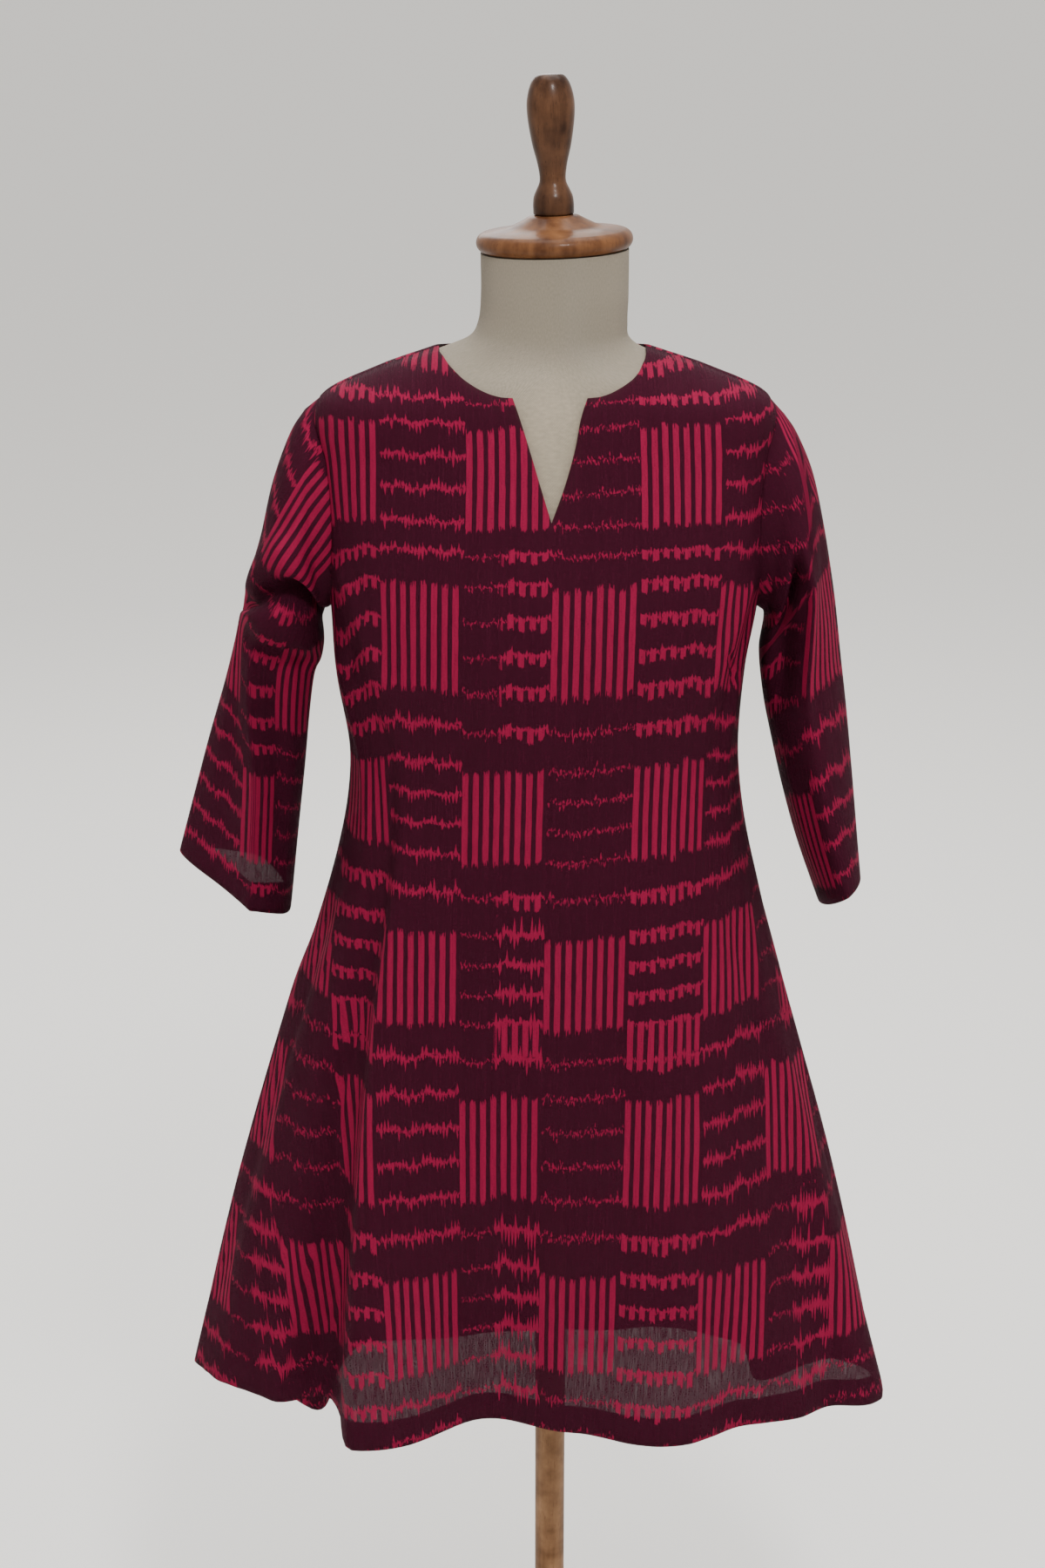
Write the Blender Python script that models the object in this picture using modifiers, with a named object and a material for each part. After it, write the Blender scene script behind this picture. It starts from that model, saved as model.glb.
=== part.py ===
"""A-line tunic with three-quarter sleeves, worn by a limbless dress form on a wooden stand.

Metres, +Z up. The origin lies on the floor under the pole, the tunic's front faces -Y, and the
wearer's right side is at -X. The cloth is a thin wall on either side of a shared surface, so the
pieces meet at their seams with an even gap.
"""
import math
from collections import namedtuple

import bmesh
import bpy
from mathutils import Matrix, Vector

# Cloth and seams
CLOTH = 0.0016
HEM_PLY = 0.0008
HEM_DEPTH = 0.025
PLY_STEP = 0.002
SEAM_GAP = 0.0003

# Landmarks of the tunic
SHOULDER_POINT_Z = 1.311
UNDERARM_Z = 1.145
ARMHOLE_INSET = 0.060
FRONT_HEM_Z = 0.450
CHEST_Z = 1.185

# Steps along the cloth
ARMHOLE_ROWS = 10
SKIRT_ROWS = 13
FRONT_COLUMNS = 18
BACK_COLUMNS = 13

# Sections of the tunic's body, measured from the pole's axis
Body = namedtuple("Body", "height right left front back centre square")
BODY = (
    Body(1.3515, 0.0912, 0.0720, 0.066, 0.062, -0.0095, 2.0),
    Body(1.3340, 0.1406, 0.1240, 0.081, 0.072, -0.0080, 2.2),
    Body(1.3110, 0.1850, 0.1700, 0.092, 0.086, -0.0060, 2.5),
    Body(1.2700, 0.1860, 0.1720, 0.102, 0.098, -0.0040, 2.6),
    Body(1.2000, 0.1840, 0.1700, 0.118, 0.105, -0.0030, 2.6),
    Body(1.1450, 0.1790, 0.1630, 0.127, 0.104, -0.0030, 2.5),
    Body(1.0940, 0.1765, 0.1550, 0.127, 0.100, -0.0030, 2.4),
    Body(1.0200, 0.1665, 0.1520, 0.121, 0.095, -0.0030, 2.3),
    Body(0.9400, 0.1780, 0.1640, 0.121, 0.097, -0.0030, 2.2),
    Body(0.8200, 0.2140, 0.1970, 0.124, 0.103, -0.0020, 2.1),
    Body(0.6400, 0.2680, 0.2470, 0.128, 0.110, -0.0010, 2.0),
    Body(0.4400, 0.3200, 0.2930, 0.131, 0.118, 0.0000, 2.0),
)

# Front neckline and slit, from the shoulder seam down to the bottom of the V
Neckline = namedtuple("Neckline", "height right left")
NECKLINE = (
    Neckline(1.3515, 0.0912, 0.0720),
    Neckline(1.3470, 0.0835, 0.0685),
    Neckline(1.3385, 0.0720, 0.0610),
    Neckline(1.3310, 0.0580, 0.0480),
    Neckline(1.3265, 0.0440, 0.0350),
    Neckline(1.3255, 0.0325, 0.0240),
    Neckline(1.3110, 0.0270, 0.0190),
    Neckline(1.2880, 0.0195, 0.0145),
    Neckline(1.2620, 0.0115, 0.0070),
    Neckline(1.2350, 0.0030, -0.0030),
)
BACK_NECK_DROP = 0.008
BACK_CENTRE = (1.330, 1.307, 1.277, 1.237)

# Folds of the skirt: turn is counted from the centre front towards the wearer's left, in degrees,
# depth is outwards at the hem, and before and after are the fold's reach on each side
Fold = namedtuple("Fold", "turn top_turn depth before after top")
FOLDS = (
    Fold(-30, -43, 0.045, 6, 20, 1.08),
    Fold(-40, -52, -0.026, 10, 7, 1.02),
    Fold(-9, -9, -0.020, 14, 13, 0.86),
    Fold(19, 24, 0.030, 17, 26, 1.00),
    Fold(45, 40, 0.016, 15, 14, 0.80),
    Fold(67, 62, 0.022, 17, 17, 0.80),
    Fold(-129, -127, -0.094, 19, 17, 0.84),
    Fold(133, 130, -0.060, 18, 10, 0.86),
    Fold(-160, -158, -0.008, 13, 16, 0.90),
    Fold(157, 156, 0.014, 14, 14, 0.92),
)

# Height of the hem round the skirt, the turns as for the folds
Hem = namedtuple("Hem", "turn height")
HEM = (
    Hem(-180, 0.398),
    Hem(-150, 0.397),
    Hem(-129, 0.394),
    Hem(-108, 0.412),
    Hem(-90, 0.440),
    Hem(-60, 0.452),
    Hem(-40, 0.449),
    Hem(0, 0.450),
    Hem(40, 0.450),
    Hem(66, 0.438),
    Hem(85, 0.423),
    Hem(110, 0.412),
    Hem(133, 0.402),
    Hem(180, 0.398),
)

# Sleeves from the armhole to the cuff: outer and inner edge, reach to the front and back, how
# sharply the front is creased, how far the crease lies outwards of the middle, and how much higher
# the front edge is than the ring's middle
Sleeve = namedtuple("Sleeve", "step outer_x outer_z inner_x inner_z front back pinch shift rise")
SLEEVE_RIGHT = (
    Sleeve(1, 0.1970, 1.3010, 0.1850, 1.1400, 0.058, 0.056, 0.00, 0.000, 0.000),
    Sleeve(2, 0.2090, 1.2825, 0.1875, 1.1340, 0.064, 0.058, 0.05, 0.000, 0.000),
    Sleeve(3, 0.2235, 1.2450, 0.1880, 1.1270, 0.068, 0.060, 0.10, 0.004, 0.000),
    Sleeve(4, 0.2340, 1.2030, 0.1870, 1.1190, 0.070, 0.060, 0.15, 0.008, 0.000),
    Sleeve(5, 0.2450, 1.1680, 0.1870, 1.1100, 0.069, 0.058, 0.20, 0.014, 0.000),
    Sleeve(6, 0.2505, 1.1470, 0.1895, 1.0980, 0.050, 0.054, 0.30, 0.018, 0.000),
    Sleeve(7, 0.2565, 1.1220, 0.1955, 1.0840, 0.053, 0.052, 0.45, 0.016, 0.000),
    Sleeve(8, 0.2680, 1.0800, 0.2005, 1.0500, 0.056, 0.050, 0.55, 0.009, 0.000),
    Sleeve(9, 0.2835, 1.0300, 0.2055, 1.0050, 0.059, 0.048, 0.60, -0.003, -0.001),
    Sleeve(10, 0.2985, 0.9780, 0.2130, 0.9450, 0.062, 0.046, 0.60, -0.011, -0.002),
    Sleeve(11, 0.3120, 0.9310, 0.2208, 0.8790, 0.065, 0.044, 0.55, -0.018, -0.003),
)
SLEEVE_LEFT = (
    Sleeve(1, 0.1820, 1.2975, 0.1700, 1.1395, 0.058, 0.056, 0.00, 0.000, 0.000),
    Sleeve(2, 0.1920, 1.2830, 0.1715, 1.1330, 0.064, 0.058, 0.05, 0.004, 0.000),
    Sleeve(3, 0.2045, 1.2550, 0.1710, 1.1250, 0.068, 0.060, 0.15, 0.008, 0.000),
    Sleeve(4, 0.2135, 1.2200, 0.1690, 1.1160, 0.069, 0.060, 0.35, 0.010, 0.000),
    Sleeve(5, 0.2215, 1.1820, 0.1680, 1.1060, 0.068, 0.060, 0.45, 0.007, 0.000),
    Sleeve(6, 0.2280, 1.1450, 0.1695, 1.0880, 0.066, 0.060, 0.45, 0.003, 0.001),
    Sleeve(7, 0.2340, 1.1020, 0.1735, 1.0620, 0.065, 0.060, 0.40, -0.002, 0.003),
    Sleeve(8, 0.2400, 1.0600, 0.1795, 1.0350, 0.065, 0.060, 0.30, -0.004, 0.006),
    Sleeve(9, 0.2460, 1.0120, 0.1905, 0.9900, 0.065, 0.060, 0.20, -0.004, 0.009),
    Sleeve(10, 0.2520, 0.9600, 0.2045, 0.9420, 0.064, 0.060, 0.15, -0.002, 0.012),
    Sleeve(11, 0.2575, 0.9100, 0.2255, 0.8840, 0.063, 0.060, 0.15, 0.000, 0.015),
)
CUFF_LENGTH = 0.060

# The dress form's torso and neck, top to bottom
Form = namedtuple("Form", "height right left front back square")
FORM = (
    Form(1.4250, 0.0575, 0.0575, 0.0575, 0.0575, 2.0),
    Form(1.3900, 0.0575, 0.0575, 0.0575, 0.0575, 2.0),
    Form(1.3700, 0.0600, 0.0570, 0.0580, 0.0570, 2.0),
    Form(1.3580, 0.0680, 0.0590, 0.0600, 0.0570, 2.0),
    Form(1.3480, 0.0925, 0.0735, 0.0650, 0.0600, 2.0),
    Form(1.3320, 0.1380, 0.1215, 0.0770, 0.0700, 2.2),
    Form(1.3080, 0.1795, 0.1640, 0.0880, 0.0820, 2.5),
    Form(1.2700, 0.1810, 0.1665, 0.0975, 0.0940, 2.6),
    Form(1.2000, 0.1760, 0.1610, 0.1130, 0.1005, 2.6),
    Form(1.1300, 0.1600, 0.1450, 0.1200, 0.0970, 2.4),
    Form(1.0700, 0.1420, 0.1320, 0.1100, 0.0880, 2.3),
    Form(0.9900, 0.1280, 0.1220, 0.0940, 0.0780, 2.2),
    Form(0.9000, 0.1430, 0.1370, 0.0980, 0.0820, 2.2),
    Form(0.8100, 0.1630, 0.1570, 0.1020, 0.0880, 2.2),
    Form(0.7400, 0.1620, 0.1560, 0.0990, 0.0860, 2.2),
    Form(0.7130, 0.1580, 0.1520, 0.0950, 0.0820, 2.2),
    Form(0.7050, 0.1500, 0.1440, 0.0870, 0.0740, 2.2),
)
FORM_SEGMENTS = 32
# Heights where the torso's rings change their spacing, each with the number of rings down to the next
FORM_RUNS = ((1.4250, 2), (1.3900, 10), (1.3080, 16), (0.7130, 1), (0.7050, 0))

# Turned pieces of the stand; the cap and its finial sit a little askew, higher at the wearer's left
CAP_TILT = 1.9
CAP_RIM_R = 0.0608
CAP_EDGE = 0.0062
CAP_BOTTOM_Z = 1.4253
CAP_OGEE = ((0.0225, 1.4508), (0.0285, 1.4468), (0.0360, 1.4428), (0.0450, 1.4402))
FINIAL_BOTTOM_Z = 1.4526
FINIAL_TOP_Z = 1.5570
FINIAL_FOOT_R = 0.0158
# Radius of the finial and how far below its top
FINIAL_SIDE = (
    (0.0080, 0.0004),
    (0.0122, 0.0028),
    (0.0155, 0.0085),
    (0.0178, 0.0170),
    (0.0184, 0.0250),
    (0.0176, 0.0360),
    (0.0150, 0.0520),
    (0.0118, 0.0650),
    (0.0102, 0.0745),
    (0.0104, 0.0800),
    (0.0128, 0.0855),
    (0.0150, 0.0905),
    (FINIAL_FOOT_R, 0.0960),
)
POLE_R = 0.0134
POLE_SIDES = 24
BASE_R = 0.180
BASE_H = 0.028
BASE_EDGE = 0.008
BASE_BEVEL = 0.002
BOSS_R = 0.032
BOSS_H = 0.016
BOSS_EDGE = 0.006

# Colours: base colour, roughness
CLOTH_COLOUR = (0.16, 0.018, 0.045)
CLOTH_ROUGHNESS = 0.85
CANVAS_COLOUR = (0.70, 0.66, 0.56)
CANVAS_ROUGHNESS = 0.90
WALNUT_COLOUR = (0.16, 0.055, 0.022)
WALNUT_ROUGHNESS = 0.30
POLE_COLOUR = (0.33, 0.19, 0.11)
POLE_ROUGHNESS = 0.60


def clear_scene():
    """Removes what the default scene holds."""
    for thing in list(bpy.data.objects):
        bpy.data.objects.remove(thing, do_unlink=True)


def new_collection(name):
    """Makes a collection in the scene."""
    group = bpy.data.collections.new(name)
    bpy.context.scene.collection.children.link(group)
    return group


def material(name, colour, roughness):
    """Makes a plain finish with one colour."""
    finish = bpy.data.materials.new(name)
    finish.use_nodes = True
    shader = finish.node_tree.nodes["Principled BSDF"]
    shader.inputs["Base Color"].default_value = (*colour, 1.0)
    shader.inputs["Roughness"].default_value = roughness
    shader.inputs["Metallic"].default_value = 0.0
    finish.diffuse_color = (*colour, 1.0)
    return finish


def slope(table, row, column):
    """The slope of a table's column at one of its rows."""
    above = table[max(row - 1, 0)]
    below = table[min(row + 1, len(table) - 1)]
    return (below[column] - above[column]) / (below[0] - above[0])


def read(table, at, column):
    """Reads a column along a smooth curve through the table's rows, ordered by their first column."""
    column = table[0]._fields.index(column)
    first, last = table[0], table[-1]
    down = last[0] < first[0]
    if (at >= first[0]) if down else (at <= first[0]):
        return first[column]
    if (at <= last[0]) if down else (at >= last[0]):
        return last[column]
    row = 0
    while (table[row + 1][0] > at) if down else (table[row + 1][0] < at):
        row += 1
    low, high = table[row], table[row + 1]
    span = high[0] - low[0]
    t = (at - low[0]) / span
    start = slope(table, row, column) * span
    end = slope(table, row + 1, column) * span
    step = high[column] - low[column]
    return low[column] + t * (start + t * (3 * step - 2 * start - end + t * (start + end - 2 * step)))


def rounded(value, power):
    """Raises a signed value to a power."""
    return math.copysign(abs(value) ** power, value)


def fold_depth(turn, height):
    """How far the folds push the cloth outwards at a turn, in degrees, and a height."""
    total = 0.0
    for fold in FOLDS:
        if height >= fold.top:
            continue
        grown = min((fold.top - height) / (fold.top - FRONT_HEM_Z), 1.0)
        middle = fold.turn + (fold.top_turn - fold.turn) * (1 - grown)
        away = (turn - middle + 180) % 360 - 180
        reach = fold.after if away > 0 else fold.before
        if abs(away) < reach:
            total += fold.depth * grown * 0.5 * (1 + math.cos(math.pi * away / reach))
    return total


def section(table, turn, height, centre):
    """A point of a rounded section, and the direction that faces outwards there."""
    angle = math.radians(turn)
    square = read(table, height, "square")
    across, along = math.sin(angle), -math.cos(angle)
    half_x = read(table, height, "right") + centre if across < 0 else read(table, height, "left") - centre
    half_y = read(table, height, "front") if along < 0 else read(table, height, "back")
    point = Vector((centre + half_x * rounded(across, 2 / square), half_y * rounded(along, 2 / square), height))
    facing = Vector((across / half_x, along / half_y, 0.0)).normalized()
    return point, facing


def body_point(turn, height):
    """A point of the tunic's body surface."""
    point, facing = section(BODY, turn, height, read(BODY, height, "centre"))
    return point + facing * fold_depth(turn, height)


def body_normal(turn, height):
    """The outward normal of the tunic's body surface."""
    around = body_point(turn + 0.5, height) - body_point(turn - 0.5, height)
    down = body_point(turn, height - 0.001) - body_point(turn, height + 0.001)
    return down.cross(around).normalized()


def turn_at(across, half, square):
    """The turn at which a section reaches a distance across, where half is its full half width."""
    return math.degrees(math.asin(rounded(min(across / half, 1.0), square / 2)))


def hem_height(turn):
    """Height of the hem at a turn."""
    return read(HEM, (turn + 180) % 360 - 180, "height")


def armhole(row):
    """Turn from the centre line and height of the armhole's edge at one of its rows."""
    swing = math.pi * row / ARMHOLE_ROWS
    middle = 0.5 * (SHOULDER_POINT_Z + UNDERARM_Z)
    height = middle + (SHOULDER_POINT_Z - middle) * math.cos(swing)
    square = read(BODY, height, "square")
    inset = ARMHOLE_INSET * max(math.sin(swing), 0.0) ** square
    return turn_at(1 - inset, 1.0, square), height


def front_inner(side, row):
    """Turn and height of the neckline, the slit or the centre front at an armhole row."""
    if row >= len(NECKLINE):
        return 0.0, CHEST_Z
    edge = NECKLINE[row]
    height = edge.height
    centre = read(BODY, height, "centre")
    across = edge.right + centre if side < 0 else edge.left - centre
    half = read(BODY, height, "right") + centre if side < 0 else read(BODY, height, "left") - centre
    return turn_at(across, half, read(BODY, height, "square")), height


def back_inner(side, row):
    """Turn from the centre back and height of the back neckline or the centre back at a row."""
    neck_rows = ARMHOLE_ROWS - len(BACK_CENTRE) - 1
    if row > neck_rows:
        return 0.0, (*BACK_CENTRE, CHEST_Z)[row - neck_rows - 1]
    along = row / neck_rows
    return 90 * (1 - along), NECKLINE[0].height - BACK_NECK_DROP * math.sin(0.5 * math.pi * along)


def skirt_drops():
    """How far down each row lies between the chest and the hem, with the hem's turning last."""
    rows = [(share / SKIRT_ROWS, 0.0) for share in range(1, SKIRT_ROWS)]
    return rows + [(1.0, HEM_DEPTH + PLY_STEP), (1.0, HEM_DEPTH), (1.0, 0.0)]


def split(points, face):
    """Two triangles of a four-sided face, across its shorter diagonal."""
    if len(face) == 3:
        return [face]
    a, b, c, d = face
    if (points[a] - points[c]).length <= (points[b] - points[d]).length:
        return [(a, b, c), (a, c, d)]
    return [(a, b, d), (b, c, d)]


def panel_half(side, front):
    """Turns and heights of one half of the front or the back, as rows from the centre outwards."""
    columns = FRONT_COLUMNS if front else BACK_COLUMNS
    inner = front_inner if front else back_inner
    rows = []
    for row in range(ARMHOLE_ROWS + 1):
        start, end = inner(side, row), armhole(row)
        spots = []
        for column in range(columns + 1):
            share = column / columns
            spots.append((start[0] + (end[0] - start[0]) * share, start[1] + (end[1] - start[1]) * share))
        rows.append(spots)
    chest = rows[-1]
    for share, lift in skirt_drops():
        spots = []
        for turn, height in chest:
            hem = hem_height(side * (turn if front else 180 - turn))
            spots.append((turn, height + (hem - height) * share + lift))
        rows.append(spots)
    return rows


def wall(points, faces, normals, inside):
    """A closed wall around a surface: half the cloth outwards, and its own depth inside each point."""
    mesh = bmesh.new()
    outer = [mesh.verts.new(point + normal * CLOTH / 2) for point, normal in zip(points, normals)]
    inner = [mesh.verts.new(point - normal * depth) for point, normal, depth in zip(points, normals, inside)]
    edges = {}
    for face in [piece for whole in faces for piece in split(points, whole)]:
        mesh.faces.new([outer[corner] for corner in face])
        mesh.faces.new([inner[corner] for corner in reversed(face)])
        for start, end in zip(face, face[1:] + face[:1]):
            edges[(start, end)] = True
    for start, end in edges:
        if (end, start) not in edges:
            mesh.faces.new((outer[end], outer[start], inner[start], inner[end]))
    bmesh.ops.recalc_face_normals(mesh, faces=mesh.faces)
    return mesh


def finish(name, mesh, finish_material, collection):
    """Turns a bmesh into a named object with its material."""
    data = bpy.data.meshes.new(name)
    mesh.to_mesh(data)
    mesh.free()
    data.shade_smooth()
    data.materials.append(finish_material)
    thing = bpy.data.objects.new(name, data)
    collection.objects.link(thing)
    return thing


def sleeve_ring(table, side, step):
    """One ring of a sleeve, from its outer edge round the front to the inner edge and the back."""
    value = {name: read(table, step, name) for name in Sleeve._fields[1:]}
    outer = Vector((side * value["outer_x"], 0.0, value["outer_z"]))
    inner = Vector((side * value["inner_x"], 0.0, value["inner_z"]))
    ring = []
    for spot in range(2 * ARMHOLE_ROWS):
        angle = math.pi * spot / ARMHOLE_ROWS
        across, along = math.cos(angle), math.sin(angle)
        middle = (outer + inner) / 2 + (outer - inner) / 2 * across
        middle.x += side * value["shift"] * along * along
        pinch = value["pinch"]
        reach = math.copysign(abs(along) * (1 - pinch) + (1 - abs(across)) * pinch, along)
        middle.y = -reach * (value["front"] if reach > 0 else value["back"])
        middle.z += value["rise"] * reach
        ring.append(middle)
    return ring


def seam_ring(side):
    """The armhole seam's points, in the order of a sleeve's ring, with the body's normals there."""
    spots = [armhole(row) for row in range(ARMHOLE_ROWS + 1)]
    turns = [(side * turn, height) for turn, height in spots]
    turns += [(side * (180 - turn), height) for turn, height in reversed(spots[1:-1])]
    return [body_point(*spot) for spot in turns], [body_normal(*spot) for spot in turns]


def ring_normals(rings, index, side):
    """Outward normals of a sleeve at one of its rings."""
    above = rings[max(index - 1, 0)]
    below = rings[min(index + 1, len(rings) - 1)]
    ring = rings[index]
    count = len(ring)
    normals = []
    for spot in range(count):
        around = ring[(spot + 1) % count] - ring[spot - 1]
        normals.append((below[spot] - above[spot]).cross(around).normalized() * -side)
    return normals


def armhole_mitre(side, table):
    """Seam points, the shared direction of the cut there, and the way from the body to the sleeve."""
    seam, body_normals = seam_ring(side)
    next_ring = sleeve_ring(table, side, 1)
    sleeve_normals = ring_normals([seam, next_ring], 0, side)
    count = len(seam)
    cuts, ways = [], []
    for spot in range(count):
        cut = (body_normals[spot] + sleeve_normals[spot]).normalized()
        along = (seam[(spot + 1) % count] - seam[spot - 1]).normalized()
        way = along.cross(cut).normalized()
        if way.dot(next_ring[spot] - seam[spot]) < 0:
            way.negate()
        cuts.append(cut)
        ways.append(way)
    return seam, cuts, ways


def build_sleeve(name, side, table, cloth, collection):
    """A sleeve from its armhole seam to the turned cuff."""
    seam, cuts, ways = armhole_mitre(side, table)
    last = table[-1].step
    cuff = HEM_DEPTH / CUFF_LENGTH
    steps = [row.step for row in table[:-1]] + [last - cuff - PLY_STEP / CUFF_LENGTH, last - cuff, last]
    rings = [[point + way * SEAM_GAP for point, way in zip(seam, ways)]]
    rings += [sleeve_ring(table, side, step) for step in steps]
    points, normals, inside = [], [], []
    for index, ring in enumerate(rings):
        points += ring
        normals += cuts if index == 0 else ring_normals(rings, index, side)
        turned = index >= len(rings) - 2
        inside += [CLOTH / 2 + (HEM_PLY if turned else 0.0)] * len(ring)
    count = len(seam)
    faces = []
    for index in range(len(rings) - 1):
        for spot in range(count):
            top, bottom = index * count, (index + 1) * count
            following = (spot + 1) % count
            faces.append((top + spot, bottom + spot, bottom + following, top + following))
    return finish(name, wall(points, faces, normals, inside), cloth, collection)


def build_panel(name, front, cloth, collection):
    """The front or the back: two halves that share their centre line below the neckline."""
    mitres = {-1: armhole_mitre(-1, SLEEVE_RIGHT), 1: armhole_mitre(1, SLEEVE_LEFT)}
    points, normals, inside, faces, known = [], [], [], [], {}

    def place(point, normal, depth):
        key = tuple(round(value, 6) for value in point)
        if key not in known:
            known[key] = len(points)
            points.append(point)
            normals.append(normal)
            inside.append(depth)
        return known[key]

    for side in (-1, 1):
        rows = panel_half(side, front)
        grid = []
        for index, spots in enumerate(rows):
            depth = CLOTH / 2 + (HEM_PLY if index >= len(rows) - 2 else 0.0)
            line = []
            for column, (turn, height) in enumerate(spots):
                turn = side * (turn if front else 180 - turn)
                point, normal = body_point(turn, height), body_normal(turn, height)
                last = column == len(spots) - 1
                if last and index <= ARMHOLE_ROWS:
                    ring_spot = index if front else -index % (2 * ARMHOLE_ROWS)
                    normal = mitres[side][1][ring_spot]
                if index == 0 or (last and index >= ARMHOLE_ROWS):
                    back_way = body_point(side * 91, height) - body_point(side * 89, height)
                    back_way = Vector((0.0, back_way.y, 0.0)).normalized()
                    point = point - back_way * (SEAM_GAP / 2 if front else -SEAM_GAP / 2)
                line.append(place(point, normal, depth))
            grid.append(line)
        for upper, lower in zip(grid, grid[1:]):
            for column in range(len(upper) - 1):
                face = (upper[column], lower[column], lower[column + 1], upper[column + 1])
                corners = tuple(dict.fromkeys(face))
                faces.append(corners if (side > 0) == front else tuple(reversed(corners)))
    return finish(name, wall(points, faces, normals, inside), cloth, collection)


def build_form(name, canvas, collection):
    """The torso and neck: a smooth closed loft, flat where the cap and the pole meet it."""
    heights = []
    for (start, count), (end, _) in zip(FORM_RUNS, FORM_RUNS[1:]):
        heights += [start + (end - start) * ring / count for ring in range(count)]
    heights.append(FORM[-1].height)
    neck_top, neck_middle = FORM[0].height, FORM[1].height
    mesh = bmesh.new()
    rings = []
    for height in heights:
        level = max((height - neck_middle) / (neck_top - neck_middle), 0.0)
        ring = []
        for spot in range(FORM_SEGMENTS):
            point, _ = section(FORM, 360 * spot / FORM_SEGMENTS, height, 0.0)
            point.z += level * point.x * math.tan(math.radians(CAP_TILT))
            ring.append(mesh.verts.new(point))
        rings.append(ring)
    for above, below in zip(rings, rings[1:]):
        for spot in range(FORM_SEGMENTS):
            following = (spot + 1) % FORM_SEGMENTS
            mesh.faces.new((above[spot], below[spot], below[following], above[following]))
    mesh.faces.new(rings[0])
    mesh.faces.new(list(reversed(rings[-1])))
    bmesh.ops.recalc_face_normals(mesh, faces=mesh.faces)
    return finish(name, mesh, canvas, collection)


def arc(centre, radius, start, end, steps):
    """Points of an arc in a turned profile, angles in degrees from the axis's outward side."""
    spots = []
    for step in range(steps + 1):
        angle = math.radians(start + (end - start) * step / steps)
        spots.append((centre[0] + radius * math.cos(angle), centre[1] + radius * math.sin(angle)))
    return spots


def build_turned(name, profile, steps, wood, collection):
    """A turned piece: its profile runs down the outer side, from the axis back to the axis."""
    data = bpy.data.meshes.new(name)
    points = [(radius, 0.0, height) for radius, height in profile]
    data.from_pydata(points, [(spot, spot + 1) for spot in range(len(points) - 1)], [])
    data.materials.append(wood)
    thing = bpy.data.objects.new(name, data)
    collection.objects.link(thing)
    screw = thing.modifiers.new("Turn", "SCREW")
    screw.steps = steps
    screw.render_steps = steps
    screw.use_merge_vertices = True
    screw.merge_threshold = 0.00005
    screw.use_smooth_shade = True
    return thing


def seat_on_neck(thing):
    """Tilts a turned piece about the middle of the neck's top."""
    tilt = Matrix.Rotation(math.radians(-CAP_TILT), 4, "Y")
    seat = Matrix.Translation((0.0, 0.0, FORM[0].height))
    thing.matrix_world = seat @ tilt @ seat.inverted()


def cap_profile():
    """Neck cap: an ogee top that falls to a rounded rim, with a flat underside."""
    seat = FINIAL_BOTTOM_Z - SEAM_GAP
    profile = [(0.0, seat), (FINIAL_FOOT_R + 0.0037, seat)]
    profile += CAP_OGEE
    profile += arc((CAP_RIM_R - CAP_EDGE, CAP_BOTTOM_Z + CAP_EDGE), CAP_EDGE, 62, -90, 6)
    profile += [(0.0, CAP_BOTTOM_Z)]
    return profile


def finial_profile():
    """Finial: a long pear-shaped handle over a waist and a barrel-shaped foot."""
    foot = FINIAL_BOTTOM_Z
    profile = [(0.0, FINIAL_TOP_Z)]
    profile += [(radius, FINIAL_TOP_Z - drop) for radius, drop in FINIAL_SIDE]
    profile += [(FINIAL_FOOT_R, foot + 0.0016), (FINIAL_FOOT_R - 0.0012, foot), (0.0, foot)]
    return profile


def base_profile():
    """Base: a round wooden disc with an eased edge and a low boss for the pole."""
    boss_top = BASE_H + BOSS_H
    profile = [(0.0, boss_top), (BOSS_R - BOSS_EDGE, boss_top)]
    profile += arc((BOSS_R - BOSS_EDGE, boss_top - BOSS_EDGE), BOSS_EDGE, 70, 0, 3)
    profile += [(BOSS_R, BASE_H)]
    profile += arc((BASE_R - BASE_EDGE, BASE_H - BASE_EDGE), BASE_EDGE, 90, 0, 4)
    profile += [(BASE_R, BASE_BEVEL), (BASE_R - BASE_BEVEL, 0.0), (0.0, 0.0)]
    return profile


def build_pole(name, wood, collection):
    """The pole, between the base's boss and the torso's underside."""
    low = BASE_H + BOSS_H + SEAM_GAP
    high = FORM[-1].height - SEAM_GAP
    bpy.ops.mesh.primitive_cylinder_add(vertices=POLE_SIDES, radius=POLE_R, depth=high - low)
    thing = bpy.context.object
    thing.name = name
    thing.location.z = (low + high) / 2
    thing.data.shade_smooth()
    thing.data.set_sharp_from_angle(angle=math.radians(40))
    thing.data.materials.append(wood)
    for group in list(thing.users_collection):
        group.objects.unlink(thing)
    collection.objects.link(thing)
    return thing


clear_scene()
parts = new_collection("tunic_on_dress_form")
cloth_finish = material("ikat_cotton", CLOTH_COLOUR, CLOTH_ROUGHNESS)
canvas_finish = material("form_canvas", CANVAS_COLOUR, CANVAS_ROUGHNESS)
walnut_finish = material("turned_walnut", WALNUT_COLOUR, WALNUT_ROUGHNESS)
pole_finish = material("pole_wood", POLE_COLOUR, POLE_ROUGHNESS)
build_panel("tunic_front", True, cloth_finish, parts)
build_panel("tunic_back", False, cloth_finish, parts)
build_sleeve("sleeve_right", -1, SLEEVE_RIGHT, cloth_finish, parts)
build_sleeve("sleeve_left", 1, SLEEVE_LEFT, cloth_finish, parts)
build_form("form_torso", canvas_finish, parts)
cap = build_turned("neck_cap", cap_profile(), 40, walnut_finish, parts)
finial = build_turned("finial", finial_profile(), 24, walnut_finish, parts)
build_pole("pole", pole_finish, parts)
build_turned("base", base_profile(), 48, pole_finish, parts)
for turned in (cap, finial):
    seat_on_neck(turned)
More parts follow.
